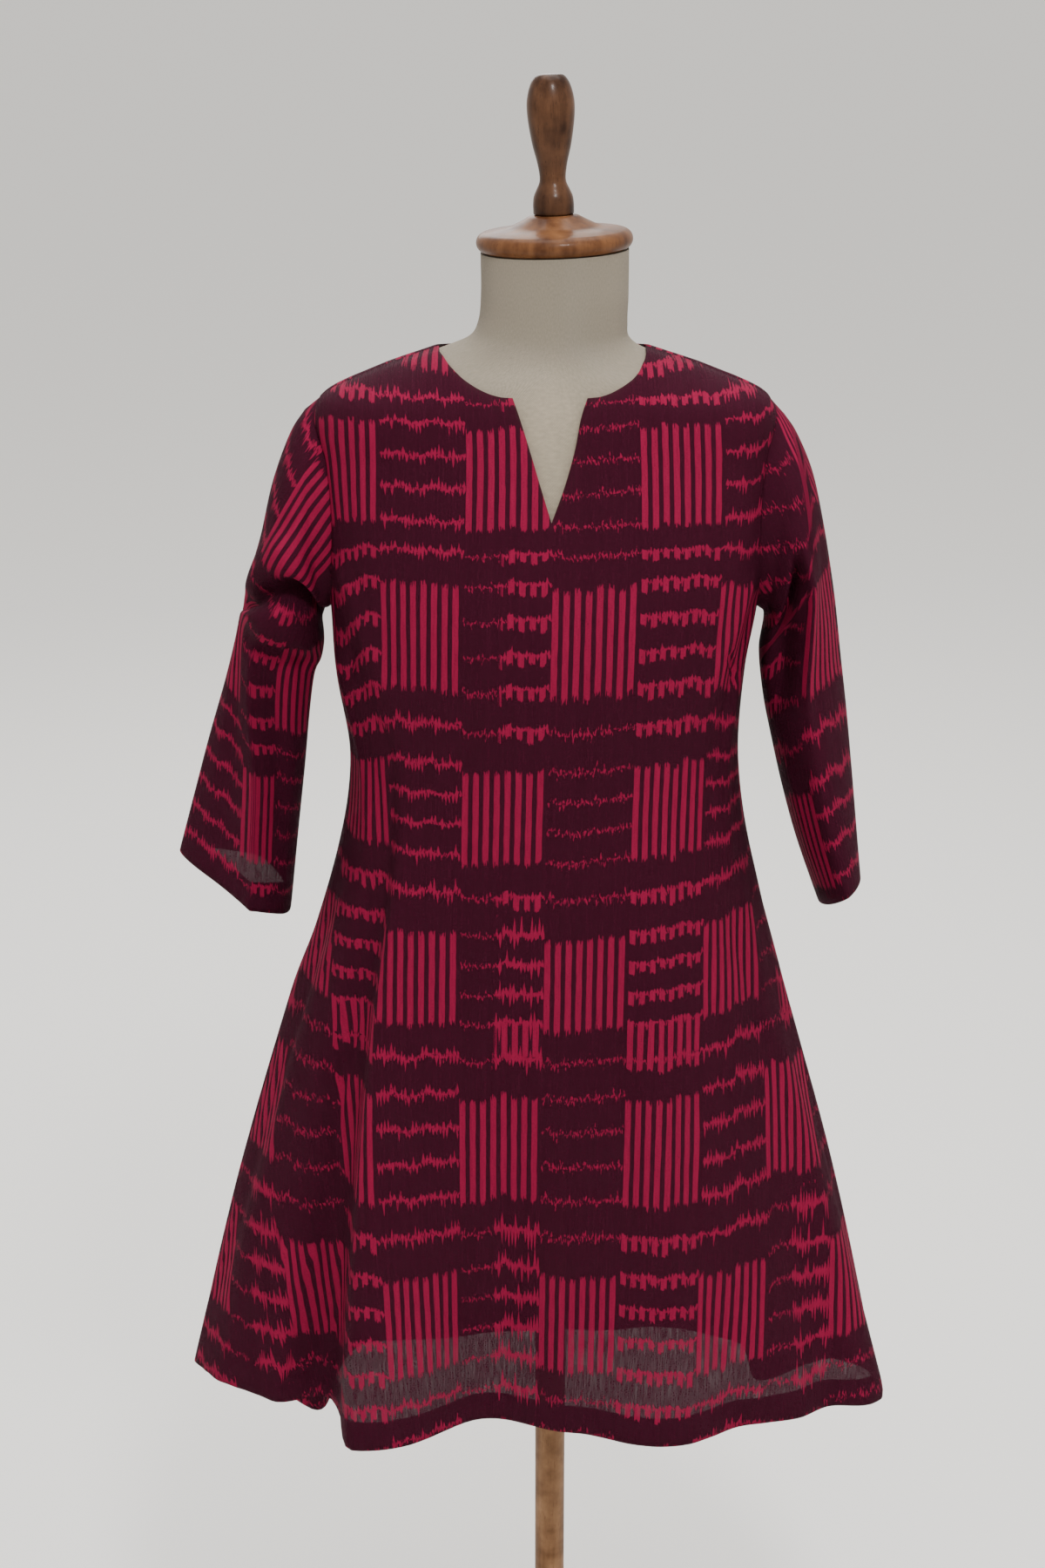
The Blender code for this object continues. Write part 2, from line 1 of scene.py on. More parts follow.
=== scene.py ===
import math
from collections import namedtuple
from functools import partial

import bmesh
import bpy
from mathutils import Matrix, Vector, noise


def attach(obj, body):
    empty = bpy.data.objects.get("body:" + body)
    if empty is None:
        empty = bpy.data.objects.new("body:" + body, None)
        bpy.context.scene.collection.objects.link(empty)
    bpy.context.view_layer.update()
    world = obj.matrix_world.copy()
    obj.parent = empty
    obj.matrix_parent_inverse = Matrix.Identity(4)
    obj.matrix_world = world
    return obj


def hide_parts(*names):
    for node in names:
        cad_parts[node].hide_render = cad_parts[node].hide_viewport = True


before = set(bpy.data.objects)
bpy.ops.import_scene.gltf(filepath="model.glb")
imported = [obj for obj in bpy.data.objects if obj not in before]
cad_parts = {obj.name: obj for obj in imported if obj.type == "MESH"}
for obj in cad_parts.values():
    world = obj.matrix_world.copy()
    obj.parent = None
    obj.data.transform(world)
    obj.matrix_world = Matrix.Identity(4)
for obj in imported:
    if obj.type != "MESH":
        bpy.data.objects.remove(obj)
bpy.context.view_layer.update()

# The studio: a plain pale floor that runs out of sight under an even sky, a soft lamp high in front,
# a broad one overhead and a weak one behind, and the camera where the photograph was taken from,
# looking 19 degrees down.
FLOOR_SIDE = 240.0
FLOOR_COLOUR = (0.93, 0.91, 0.875)
SKY_COLOUR = (1.0, 0.985, 0.96)
SKY_STRENGTH = 0.97
Lamp = namedtuple("Lamp", "name place target size power")
LAMPS = (
    Lamp("lamp_front", (0.45, -1.75, 2.95), (0.0, 0.0, 1.15), 0.45, 42.0),
    Lamp("lamp_top", (0.1, 0.5, 4.2), (0.0, 0.4, 0.0), 3.0, 120.0),
    Lamp("lamp_back", (-0.5, 3.0, 2.6), (0.0, 0.0, 1.0), 1.6, 26.0),
)
CAMERA_PLACE = (-0.025, -1.95, 1.66)
CAMERA_PITCH = 71.0
CAMERA_LENS = 57.0


def plain_finish(name, colour, roughness):
    """A new material, and its shader."""
    finish = bpy.data.materials.new(name)
    finish.use_nodes = True
    shader = finish.node_tree.nodes["Principled BSDF"]
    shader.inputs["Base Color"].default_value = (*colour, 1.0)
    shader.inputs["Roughness"].default_value = roughness
    return finish, shader


def place_mesh(name, mesh, finish):
    """Makes an object of a bmesh, at the origin, with its finish."""
    data = bpy.data.meshes.new(name)
    mesh.to_mesh(data)
    mesh.free()
    data.shade_smooth()
    data.materials.append(finish)
    thing = bpy.data.objects.new(name, data)
    bpy.context.scene.collection.objects.link(thing)
    return thing


floor_mesh = bmesh.new()
bmesh.ops.create_grid(floor_mesh, x_segments=1, y_segments=1, size=FLOOR_SIDE / 2)
floor_finish, _ = plain_finish("studio_floor", FLOOR_COLOUR, 0.9)
place_mesh("floor", floor_mesh, floor_finish)
sky = bpy.data.worlds.new("studio_sky")
sky.use_nodes = True
sky.node_tree.nodes["Background"].inputs["Color"].default_value = (*SKY_COLOUR, 1.0)
sky.node_tree.nodes["Background"].inputs["Strength"].default_value = SKY_STRENGTH
bpy.context.scene.world = sky
for lamp in LAMPS:
    light = bpy.data.lights.new(lamp.name, "AREA")
    light.shape = "SQUARE"
    light.size = lamp.size
    light.energy = lamp.power
    thing = bpy.data.objects.new(lamp.name, light)
    thing.location = lamp.place
    thing.rotation_euler = (Vector(lamp.target) - Vector(lamp.place)).to_track_quat("-Z", "Y").to_euler()
    bpy.context.scene.collection.objects.link(thing)
camera = bpy.data.objects.new("camera", bpy.data.cameras.new("camera"))
camera.location = CAMERA_PLACE
camera.rotation_euler = (math.radians(CAMERA_PITCH), 0.0, 0.0)
camera.data.lens = CAMERA_LENS
bpy.context.scene.collection.objects.link(camera)
bpy.context.scene.camera = camera

# The torso and neck of the dress form: a padded shell under tightly stretched ivory canvas, smooth
# all over and closed at the hips by a flat board. Its sections repeat those of the solid.
Form = namedtuple("Form", "height right left front back square")
FORM = tuple(Form(*row) for row in (
    (1.425, 0.0575, 0.0575, 0.0575, 0.0575, 2.0),
    (1.39, 0.0575, 0.0575, 0.0575, 0.0575, 2.0),
    (1.37, 0.06, 0.057, 0.058, 0.057, 2.0),
    (1.358, 0.068, 0.059, 0.06, 0.057, 2.0),
    (1.348, 0.0925, 0.0735, 0.065, 0.06, 2.0),
    (1.332, 0.138, 0.1215, 0.077, 0.07, 2.2),
    (1.308, 0.1795, 0.164, 0.088, 0.082, 2.5),
    (1.27, 0.181, 0.1665, 0.0975, 0.094, 2.6),
    (1.2, 0.176, 0.161, 0.113, 0.1005, 2.6),
    (1.13, 0.16, 0.145, 0.12, 0.097, 2.4),
    (1.07, 0.142, 0.132, 0.11, 0.088, 2.3),
    (0.99, 0.128, 0.122, 0.094, 0.078, 2.2),
    (0.9, 0.143, 0.137, 0.098, 0.082, 2.2),
    (0.81, 0.163, 0.157, 0.102, 0.088, 2.2),
    (0.74, 0.162, 0.156, 0.099, 0.086, 2.2),
    (0.713, 0.158, 0.152, 0.095, 0.082, 2.2),
    (0.705, 0.15, 0.144, 0.087, 0.074, 2.2),
))
Spacing = namedtuple("Spacing", "share height")
FORM_SPACING = (
    Spacing(0.0, 1.425),
    Spacing(0.1, 1.39),
    Spacing(0.45, 1.308),
    Spacing(0.96, 0.713),
    Spacing(1.0, 0.705),
)
FORM_COLUMNS = 96
FORM_ROWS = 120
CAP_TILT = 1.9
CANVAS_COLOUR = (0.450, 0.376, 0.275)
CANVAS_PITCH = 0.0009
CANVAS_GIRTH = 0.9


def slope(table, row, column):
    """The slope of a table's column at one of its rows."""
    above = table[max(row - 1, 0)]
    below = table[min(row + 1, len(table) - 1)]
    return (below[column] - above[column]) / (below[0] - above[0])


def row_at(table, at):
    """The row that a place comes after, in a table ordered by its first column."""
    down = table[-1][0] < table[0][0]
    row = 0
    while row < len(table) - 2 and ((table[row + 1][0] > at) if down else (table[row + 1][0] < at)):
        row += 1
    return row


def read(table, at, column):
    """Reads a column along a smooth curve through the table's rows, and level past both ends."""
    column = table[0]._fields.index(column)
    least, most = sorted((table[0][0], table[-1][0]))
    at = min(max(at, least), most)
    row = row_at(table, at)
    low, high = table[row], table[row + 1]
    span = high[0] - low[0]
    t = (at - low[0]) / span
    start = slope(table, row, column) * span
    end = slope(table, row + 1, column) * span
    step = high[column] - low[column]
    return low[column] + t * (start + t * (3 * step - 2 * start - end + t * (start + end - 2 * step)))


def straight(table, at, column):
    """Reads a column along straight lines between the table's rows, and on past both ends."""
    column = table[0]._fields.index(column)
    row = row_at(table, at)
    low, high = table[row], table[row + 1]
    return low[column] + (high[column] - low[column]) * (at - low[0]) / (high[0] - low[0])


def rounded(value, power):
    """Raises a signed value to a power."""
    return math.copysign(abs(value) ** power, value)


def half_width(table, at, side, centre):
    """Half the width of a table's row, from a centre line out to one side."""
    return read(table, at, "right") + centre if side < 0 else read(table, at, "left") - centre


def section(table, turn, height, centre):
    """A point of a rounded section, and the direction that faces outwards there."""
    angle = math.radians(turn)
    square = read(table, height, "square")
    across, along = math.sin(angle), -math.cos(angle)
    half_x = half_width(table, height, across, centre)
    half_y = read(table, height, "front") if along < 0 else read(table, height, "back")
    x, y = half_x * rounded(across, 2 / square), half_y * rounded(along, 2 / square)
    return Vector((centre + x, y, height)), Vector((across / half_x, along / half_y, 0.0)).normalized()


def lay_grid(mesh, columns, rows, place):
    """Adds a flat grid to a mesh, lays each point where place(across, down) says, and notes its grain."""
    grain = mesh.loops.layers.uv.get("grain") or mesh.loops.layers.uv.new("grain")
    sheet = bmesh.ops.create_grid(mesh, x_segments=columns, y_segments=rows, size=0.5)["verts"]
    grains = {}
    for point in sheet:
        point.co, grains[point] = place(point.co.x + 0.5, 0.5 - point.co.y)
    for face in {face for point in sheet for face in point.link_faces}:
        for loop in face.loops:
            loop[grain].uv = grains[loop.vert]


def join(tree, source, socket):
    """Links a node's output, or sets a plain number, on a socket."""
    if isinstance(source, (int, float)):
        socket.default_value = source
    else:
        tree.links.new(source, socket)


def sum_of(tree, operation, *terms):
    """A math node's result."""
    node = tree.nodes.new("ShaderNodeMath")
    node.operation = operation
    for term, socket in zip(terms, node.inputs):
        join(tree, term, socket)
    return node.outputs[0]


def spot_of(tree, x, y, z=0.0):
    """A vector of three numbers."""
    node = tree.nodes.new("ShaderNodeCombineXYZ")
    for term, socket in zip((x, y, z), node.inputs):
        join(tree, term, socket)
    return node.outputs[0]


def cloud(tree, spot, scale, detail):
    """Smooth noise from 0 to 1."""
    node = tree.nodes.new("ShaderNodeTexNoise")
    tree.links.new(spot, node.inputs["Vector"])
    node.inputs["Scale"].default_value = scale
    node.inputs["Detail"].default_value = detail
    return node.outputs["Fac"]


def new_group(name, inputs, outputs):
    """A shader node group with its named inputs and outputs, and its two end nodes."""
    group = bpy.data.node_groups.new(name, "ShaderNodeTree")
    for label, kind, value in inputs:
        socket = group.interface.new_socket(label, in_out="INPUT", socket_type=kind)
        if value is not None:
            socket.default_value = value
    for label, kind in outputs:
        group.interface.new_socket(label, in_out="OUTPUT", socket_type=kind)
    return group, group.nodes.new("NodeGroupInput").outputs, group.nodes.new("NodeGroupOutput").inputs


def mix_colour(tree, share, first, second):
    """Mixes two colours."""
    node = tree.nodes.new("ShaderNodeMix")
    node.data_type = "RGBA"
    join(tree, share, node.inputs["Factor"])
    for colour, label in ((first, "A"), (second, "B")):
        socket = [one for one in node.inputs if one.name == label and one.type == "RGBA"][0]
        if isinstance(colour, tuple):
            socket.default_value = (*colour, 1.0)
        else:
            tree.links.new(colour, socket)
    return [one for one in node.outputs if one.type == "RGBA"][0]


def use_group(tree, group, **values):
    """Places a node group in a material, with its values."""
    node = tree.nodes.new("ShaderNodeGroup")
    node.node_tree = group
    for label, value in values.items():
        socket = node.inputs[label.replace("_", " ")]
        if isinstance(value, tuple):
            socket.default_value = (*value, 1.0)
        else:
            join(tree, value, socket)
    return node.outputs


# Threads of a plain weave, over one and under one, seen as fine relief; the grain is in metres.
weave, weave_in, weave_out = new_group(
    "plain_weave",
    [("Grain", "NodeSocketVector", None), ("Pitch", "NodeSocketFloat", 0.0005)],
    [("Height", "NodeSocketFloat")],
)
parted = weave.nodes.new("ShaderNodeSeparateXYZ")
weave.links.new(weave_in["Grain"], parted.inputs[0])
turns = sum_of(weave, "DIVIDE", math.tau, weave_in["Pitch"])
warp = sum_of(weave, "SINE", sum_of(weave, "MULTIPLY", parted.outputs["X"], turns))
weft = sum_of(weave, "SINE", sum_of(weave, "MULTIPLY", parted.outputs["Y"], turns))
slub = cloud(weave, weave_in["Grain"], 900.0, 2.0)
relief = sum_of(weave, "ADD", sum_of(weave, "MULTIPLY", warp, weft), slub)
weave.links.new(relief, weave_out["Height"])


def relief_on(tree, shader, height, distance, strength):
    """Feeds a height to the shader's normal."""
    bump = tree.nodes.new("ShaderNodeBump")
    bump.inputs["Distance"].default_value = distance
    bump.inputs["Strength"].default_value = strength
    tree.links.new(height, bump.inputs["Height"])
    tree.links.new(bump.outputs["Normal"], shader.inputs["Normal"])


canvas, shader = plain_finish("form_canvas", CANVAS_COLOUR, 0.88)
shader.inputs["Sheen Weight"].default_value = 0.12
tree = canvas.node_tree
grain = tree.nodes.new("ShaderNodeUVMap")
grain.uv_map = "grain"
mottle = cloud(tree, grain.outputs["UV"], 420.0, 5.0)
drift = cloud(tree, grain.outputs["UV"], 9.0, 3.0)
lighter = tuple(min(value * 1.07, 1.0) for value in CANVAS_COLOUR)
darker = tuple(value * 0.86 for value in CANVAS_COLOUR)
cloudy = sum_of(tree, "MULTIPLY_ADD", drift, 0.8, sum_of(tree, "MULTIPLY_ADD", mottle, 2.4, -1.1))
tree.links.new(mix_colour(tree, cloudy, darker, lighter), shader.inputs["Base Color"])
threads = use_group(tree, weave, Grain=grain.outputs["UV"], Pitch=CANVAS_PITCH)
relief_on(tree, shader, sum_of(tree, "MULTIPLY_ADD", mottle, 1.5, threads["Height"]), 0.00040, 1.0)


def form_spot(across, down):
    """A point of the torso, with its grain in metres."""
    height = straight(FORM_SPACING, down, "height")
    point, _ = section(FORM, 360 * across - 180, height, 0.0)
    neck_top, neck_middle = FORM[0].height, FORM[1].height
    level = max((height - neck_middle) / (neck_top - neck_middle), 0.0)
    point.z += level * point.x * math.tan(math.radians(CAP_TILT))
    return point, (across * CANVAS_GIRTH, height)


mesh = bmesh.new()
lay_grid(mesh, FORM_COLUMNS, FORM_ROWS, form_spot)
bmesh.ops.remove_doubles(mesh, verts=mesh.verts, dist=1e-6)
bmesh.ops.holes_fill(mesh, edges=[edge for edge in mesh.edges if edge.is_boundary], sides=0)
bmesh.ops.recalc_face_normals(mesh, faces=mesh.faces)
torso = place_mesh("torso_canvas", mesh, canvas)
torso.data.set_sharp_from_angle(angle=math.radians(50))
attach(torso, "root")
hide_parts("form_torso")

# The neck cap: a disc of dark polished wood turned on a lathe, an ogee that falls from a small seat
# to a rounded rim. It sits a little askew on the neck, and its finial with it.
CAP_RIM_R = 0.0608
CAP_EDGE = 0.0076
CAP_BOTTOM_Z = 1.4253
SEAT_Z = 1.4523
SEAT_R = 0.0195
SEAT_EASE = 0.0030
CAP_OGEE = ((0.0228, 1.4495), (0.0280, 1.4468), (0.0350, 1.4437), (0.0440, 1.4420))
# Painted light: the cap's walnut is a lighter, lit copy of the finial's wood. It stands in for the overhead
# light falling on the cap's top and the highlights there.
CAP_PAINTED_LIT_DARK = (0.060, 0.0210, 0.0080)
CAP_PAINTED_LIT_LIGHT = (0.215, 0.0920, 0.0360)
LATHE_STEPS = 96
MERGE = 2e-5

wood, wood_in, wood_out = new_group(
    "wood_grain",
    [
        ("Spot", "NodeSocketVector", None),
        ("Dark", "NodeSocketColor", (0.1, 0.05, 0.02, 1.0)),
        ("Light", "NodeSocketColor", (0.3, 0.15, 0.07, 1.0)),
        ("Figure", "NodeSocketFloat", 1.0),
    ],
    [("Color", "NodeSocketColor"), ("Height", "NodeSocketFloat"), ("Rough", "NodeSocketFloat")],
)
parted = wood.nodes.new("ShaderNodeSeparateXYZ")
wood.links.new(wood_in["Spot"], parted.inputs[0])
long_spot = spot_of(wood, parted.outputs["X"], parted.outputs["Y"],
                    sum_of(wood, "MULTIPLY", parted.outputs["Z"], 0.10))
wander = cloud(wood, long_spot, 22.0, 2.0)
rings = sum_of(wood, "MULTIPLY_ADD", wander, 26.0, sum_of(wood, "MULTIPLY", parted.outputs["X"], 210.0))
ring_wave = sum_of(wood, "MULTIPLY_ADD", sum_of(wood, "SINE", rings), 0.5, 0.5)
streaks = cloud(wood, long_spot, 190.0, 5.0)
pores = cloud(wood, long_spot, 900.0, 2.0)
mottle = cloud(wood, wood_in["Spot"], 55.0, 5.0)
figure = sum_of(wood, "MULTIPLY", ring_wave, wood_in["Figure"])
tone = sum_of(wood, "MULTIPLY_ADD", figure, 0.34, sum_of(
    wood, "MULTIPLY_ADD", streaks, 0.75, sum_of(wood, "MULTIPLY_ADD", mottle, 1.60, -0.85)))
shade = mix_colour(wood, tone, wood_in["Dark"], wood_in["Light"])
pore_mask = sum_of(wood, "LESS_THAN", pores, 0.36)
wood.links.new(mix_colour(wood, sum_of(wood, "MULTIPLY", pore_mask, 0.45), shade, wood_in["Dark"]),
               wood_out["Color"])
relief = sum_of(wood, "SUBTRACT", streaks, sum_of(wood, "MULTIPLY", pore_mask, 0.6))
wood.links.new(relief, wood_out["Height"])
wood.links.new(sum_of(wood, "MULTIPLY", streaks, 0.18), wood_out["Rough"])


def wood_finish(name, dark, light, roughness, figure, coat):
    """A wood that shows its long grain."""
    finish, shader = plain_finish(name, light, roughness)
    tree = finish.node_tree
    spot = tree.nodes.new("ShaderNodeTexCoord").outputs["Object"]
    made = use_group(tree, wood, Spot=spot, Dark=dark, Light=light, Figure=figure)
    tree.links.new(made["Color"], shader.inputs["Base Color"])
    tree.links.new(sum_of(tree, "ADD", made["Rough"], roughness), shader.inputs["Roughness"])
    shader.inputs["Coat Weight"].default_value = coat
    shader.inputs["Coat Roughness"].default_value = 0.10
    shader.inputs["Coat IOR"].default_value = 1.35
    shader.inputs["Specular IOR Level"].default_value = 0.10
    relief_on(tree, shader, made["Height"], 0.00015, 0.5)
    return finish


def arc(centre, radius, start, end, steps):
    """Points of an arc in a turned profile, angles in degrees from the axis's outward side."""
    spots = []
    for step in range(steps + 1):
        angle = math.radians(start + (end - start) * step / steps)
        spots.append((centre[0] + radius * math.cos(angle), centre[1] + radius * math.sin(angle)))
    return spots


def eased(points, steps):
    """A smooth curve through the points of a profile."""
    curve = []
    for index in range(len(points) - 1):
        before, start = points[max(index - 1, 0)], points[index]
        end, after = points[index + 1], points[min(index + 2, len(points) - 1)]
        for step in range(steps):
            t = step / steps
            curve.append(tuple(
                b + 0.5 * t * (c - a + t * (2 * a - 5 * b + 4 * c - d + t * (3 * b - a - 3 * c + d)))
                for a, b, c, d in zip(before, start, end, after)))
    return curve + [points[-1]]


def turn_on_lathe(name, profile, finish, sharp, tilt=0.0):
    """Spins a profile round the pole's line, then tilts it about the neck's top."""
    mesh = bmesh.new()
    line = [mesh.verts.new((radius, 0.0, height)) for radius, height in profile]
    edges = [mesh.edges.new(pair) for pair in zip(line, line[1:])]
    bmesh.ops.spin(mesh, geom=line + edges, cent=(0, 0, 0), axis=(0, 0, 1), angle=math.tau,
                   steps=LATHE_STEPS, use_merge=True)
    bmesh.ops.remove_doubles(mesh, verts=mesh.verts, dist=MERGE)
    bmesh.ops.recalc_face_normals(mesh, faces=mesh.faces)
    seat = Matrix.Translation((0.0, 0.0, FORM[0].height))
    lean = seat @ Matrix.Rotation(math.radians(-tilt), 4, "Y") @ seat.inverted()
    bmesh.ops.transform(mesh, matrix=lean, verts=mesh.verts)
    thing = place_mesh(name, mesh, finish)
    thing.data.set_sharp_from_angle(angle=math.radians(sharp))
    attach(thing, "root")
    return thing


# The cap's own lighter walnut is painted light from above on the same wood, not a different piece of wood.
cap_painted_lit_wood = wood_finish("cap_walnut_painted_lit", CAP_PAINTED_LIT_DARK, CAP_PAINTED_LIT_LIGHT, 0.30, 0.35, 0.10)
cap_profile = [(0.0, SEAT_Z)]
cap_profile += eased(((SEAT_R - SEAT_EASE, SEAT_Z), (SEAT_R, SEAT_Z - SEAT_EASE / 3), *CAP_OGEE), 6)
cap_profile += arc((CAP_RIM_R - CAP_EDGE, CAP_BOTTOM_Z + CAP_EDGE), CAP_EDGE, 78, -90, 16)
cap_profile.append((0.0, CAP_BOTTOM_Z))
cap = turn_on_lathe("neck_cap_turned", cap_profile, cap_painted_lit_wood, 38, CAP_TILT)
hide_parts("neck_cap")

# The finial: a long pear-shaped handle over a waist and a barrel foot, turned from the same wood as the
# cap, polished, and pegged into the cap. It shows the wood's own darker colours; the cap's lighter ones are
# painted light.
WALNUT_DARK = (0.026, 0.0105, 0.0052)
WALNUT_LIGHT = (0.122, 0.0540, 0.0260)
FINIAL_BOTTOM_Z = 1.4526
FINIAL_TOP_Z = 1.5570
FINIAL_FOOT_R = 0.0158
FINIAL_SIDE = (
    (0.0, 0.0),
    (0.008, 0.0004),
    (0.0122, 0.0028),
    (0.0155, 0.0085),
    (0.0178, 0.017),
    (0.0184, 0.025),
    (0.0176, 0.036),
    (0.015, 0.052),
    (0.0118, 0.065),
    (0.0102, 0.0745),
    (0.0104, 0.08),
    (0.0128, 0.0855),
    (0.015, 0.0905),
    (FINIAL_FOOT_R, 0.0960),
    (FINIAL_FOOT_R, 0.1010),
)
finial_profile = [(max(radius, 0.0), FINIAL_TOP_Z - drop) for radius, drop in eased(FINIAL_SIDE, 5)]
finial_profile += arc((FINIAL_FOOT_R - 0.0014, FINIAL_BOTTOM_Z + 0.0014), 0.0014, -10, -90, 4)
finial_profile += [(0.0, FINIAL_BOTTOM_Z)]
walnut = wood_finish("turned_walnut", WALNUT_DARK, WALNUT_LIGHT, 0.22, 0.35, 0.10)
finial = turn_on_lathe("finial_turned", finial_profile, walnut, 38, CAP_TILT)
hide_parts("finial")

# The pole and its round base: plain tan-brown wood, rubbed with wax. The base is out of the
# photograph, so it is a simple disc with eased edges and a low boss that the pole stands in.
POLE_R = 0.0134
BASE_R = 0.180
BASE_H = 0.028
BASE_EDGE = 0.008
BASE_BEVEL = 0.002
BOSS_R = 0.032
BOSS_H = 0.016
BOSS_EDGE = 0.006
GAP = 0.0003
POLE_DARK = (0.115, 0.052, 0.021)
POLE_LIGHT = (0.325, 0.178, 0.088)

pole_wood = wood_finish("pole_wood", POLE_DARK, POLE_LIGHT, 0.42, 0.5, 0.08)
boss_top = BASE_H + BOSS_H
pole_low, pole_high = boss_top + GAP, FORM[-1].height - GAP
pole_profile = [(0.0, pole_high), (POLE_R, pole_high)]
pole_profile += [(POLE_R, pole_high + (pole_low - pole_high) * step / 12) for step in range(1, 12)]
pole_profile += [(POLE_R, pole_low), (0.0, pole_low)]
pole = turn_on_lathe("pole_turned", pole_profile, pole_wood, 38)
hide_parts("pole")
base_profile = [(0.0, boss_top), (BOSS_R - BOSS_EDGE, boss_top)]
base_profile += arc((BOSS_R - BOSS_EDGE, boss_top - BOSS_EDGE), BOSS_EDGE, 80, 0, 8)
base_profile += [(BOSS_R, BASE_H)]
base_profile += [(BOSS_R + (BASE_R - BASE_EDGE - BOSS_R) * step / 10, BASE_H) for step in range(1, 10)]
base_profile += arc((BASE_R - BASE_EDGE, BASE_H - BASE_EDGE), BASE_EDGE, 90, 0, 10)
base_profile += [(BASE_R, BASE_BEVEL), (BASE_R - BASE_BEVEL, 0.0), (0.0, 0.0)]
base = turn_on_lathe("base_turned", base_profile, pole_wood, 38)
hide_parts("base")

# The front of the tunic: one piece of soft ikat cotton with a round neck and a V slit, cut flared, its
# hem turned up once. It hangs in one deep fold and a few shallow ones. Sections, folds and edges repeat
# those of the solid; turns are degrees from the centre front towards the wearer's left.
Body = namedtuple("Body", "height right left front back centre square")
BODY = (
    Body(1.3515, 0.0912, 0.072, 0.066, 0.062, -0.0095, 2.0),
    Body(1.334, 0.1406, 0.124, 0.081, 0.072, -0.008, 2.2),
    Body(1.311, 0.185, 0.17, 0.092, 0.086, -0.006, 2.5),
    Body(1.27, 0.186, 0.172, 0.102, 0.098, -0.004, 2.6),
    Body(1.2, 0.184, 0.17, 0.118, 0.105, -0.003, 2.6),
    Body(1.145, 0.179, 0.163, 0.127, 0.104, -0.003, 2.5),
    Body(1.094, 0.1765, 0.155, 0.127, 0.1, -0.003, 2.4),
    Body(1.02, 0.1665, 0.152, 0.121, 0.095, -0.003, 2.3),
    Body(0.94, 0.178, 0.164, 0.121, 0.097, -0.003, 2.2),
    Body(0.82, 0.214, 0.197, 0.124, 0.103, -0.002, 2.1),
    Body(0.64, 0.268, 0.247, 0.128, 0.11, -0.001, 2.0),
    Body(0.44, 0.32, 0.293, 0.131, 0.118, 0.0, 2.0),
)
Fold = namedtuple("Fold", "turn top_turn depth before after top")
FOLDS = (
    Fold(-30, -43, 0.045, 6, 20, 1.08),
    Fold(-40, -52, -0.026, 10, 7, 1.02),
    Fold(-9, -9, -0.02, 14, 13, 0.86),
    Fold(19, 24, 0.03, 17, 26, 1.0),
    Fold(45, 40, 0.016, 15, 14, 0.8),
    Fold(67, 62, 0.022, 17, 17, 0.8),
    Fold(-129, -127, -0.094, 19, 17, 0.84),
    Fold(133, 130, -0.06, 18, 10, 0.86),
    Fold(-160, -158, -0.008, 13, 16, 0.9),
    Fold(157, 156, 0.014, 14, 14, 0.92),
)
Crease = namedtuple("Crease", "top_turn top_height low_turn low_height depth width")
CREASES = tuple(Crease(*row) for row in (
    (-58, 1.128, -66, 1.098, -0.0028, 1.8),
    (55, 1.125, 66, 1.098, -0.0028, 1.8),
    (-60, 1.18, -44, 1.1, 0.0025, 5.0),
    (-72, 1.16, -50, 1.06, -0.0022, 4.0),
    (62, 1.17, 47, 1.09, 0.0025, 5.0),
    (70, 1.15, 56, 1.05, -0.002, 4.0),
    (-72, 1.1, -58, 0.96, 0.0022, 4.0),
    (68, 1.08, 60, 0.95, 0.002, 4.0),
    (-17, 1.06, -15, 0.88, -0.0022, 6.0),
    (4, 1.0, 3, 0.82, 0.0016, 6.0),
    (14, 0.78, 15, 0.52, -0.003, 4.0),
    (-18, 0.76, -17, 0.5, 0.0026, 4.0),
    (33, 0.7, 36, 0.48, 0.003, 4.0),
    (57, 0.86, 60, 0.56, -0.0035, 5.0),
    (-75, 0.86, -80, 0.56, -0.004, 6.0),
    (-92, 0.8, -99, 0.52, 0.004, 6.0),
    (88, 0.84, 94, 0.52, -0.0035, 5.0),
    (118, 1.18, 135, 1.06, -0.003, 5.0),
    (-120, 1.18, -138, 1.07, -0.003, 5.0),
    (150, 1.12, 148, 0.92, 0.0028, 6.0),
    (-152, 1.1, -149, 0.93, 0.0026, 6.0),
    (172, 1.06, 174, 0.86, -0.0026, 6.0),
    (-172, 0.82, -170, 0.52, 0.003, 5.0),
    (144, 0.78, 143, 0.5, -0.0034, 5.0),
))
Hem = namedtuple("Hem", "turn height")
HEM = tuple(Hem(*row) for row in (
    (-180, 0.398),
    (-150, 0.397),
    (-129, 0.394),
    (-108, 0.412),
    (-90, 0.44),
    (-60, 0.452),
    (-40, 0.449),
    (0, 0.45),
    (40, 0.45),
    (66, 0.438),
    (85, 0.423),
    (110, 0.412),
    (133, 0.402),
    (180, 0.398),
))
Neckline = namedtuple("Neckline", "row height right left")
NECKLINE = tuple(Neckline(*row) for row in (
    (0, 1.3515, 0.0912, 0.072),
    (1, 1.347, 0.0835, 0.0685),
    (2, 1.3385, 0.072, 0.061),
    (3, 1.331, 0.058, 0.048),
    (4, 1.3265, 0.044, 0.035),
    (5, 1.3255, 0.0325, 0.024),
))
SLIT = (
    Neckline(5, 1.3255, 0.0325, 0.024),
    Neckline(6, 1.311, 0.027, 0.019),
    Neckline(7, 1.288, 0.0195, 0.0145),
    Neckline(8, 1.262, 0.0115, 0.007),
    Neckline(9, 1.235, 0.003, -0.003),
)
FRONT_HEM_Z = 0.450
CHEST_Z = 1.185
SHOULDER_POINT_Z = 1.311
UNDERARM_Z = 1.145
ARMHOLE_INSET = 0.060
ARMHOLE_UNITS = 10
ARMHOLE_ROWS = 40
SKIRT_ROWS = 112
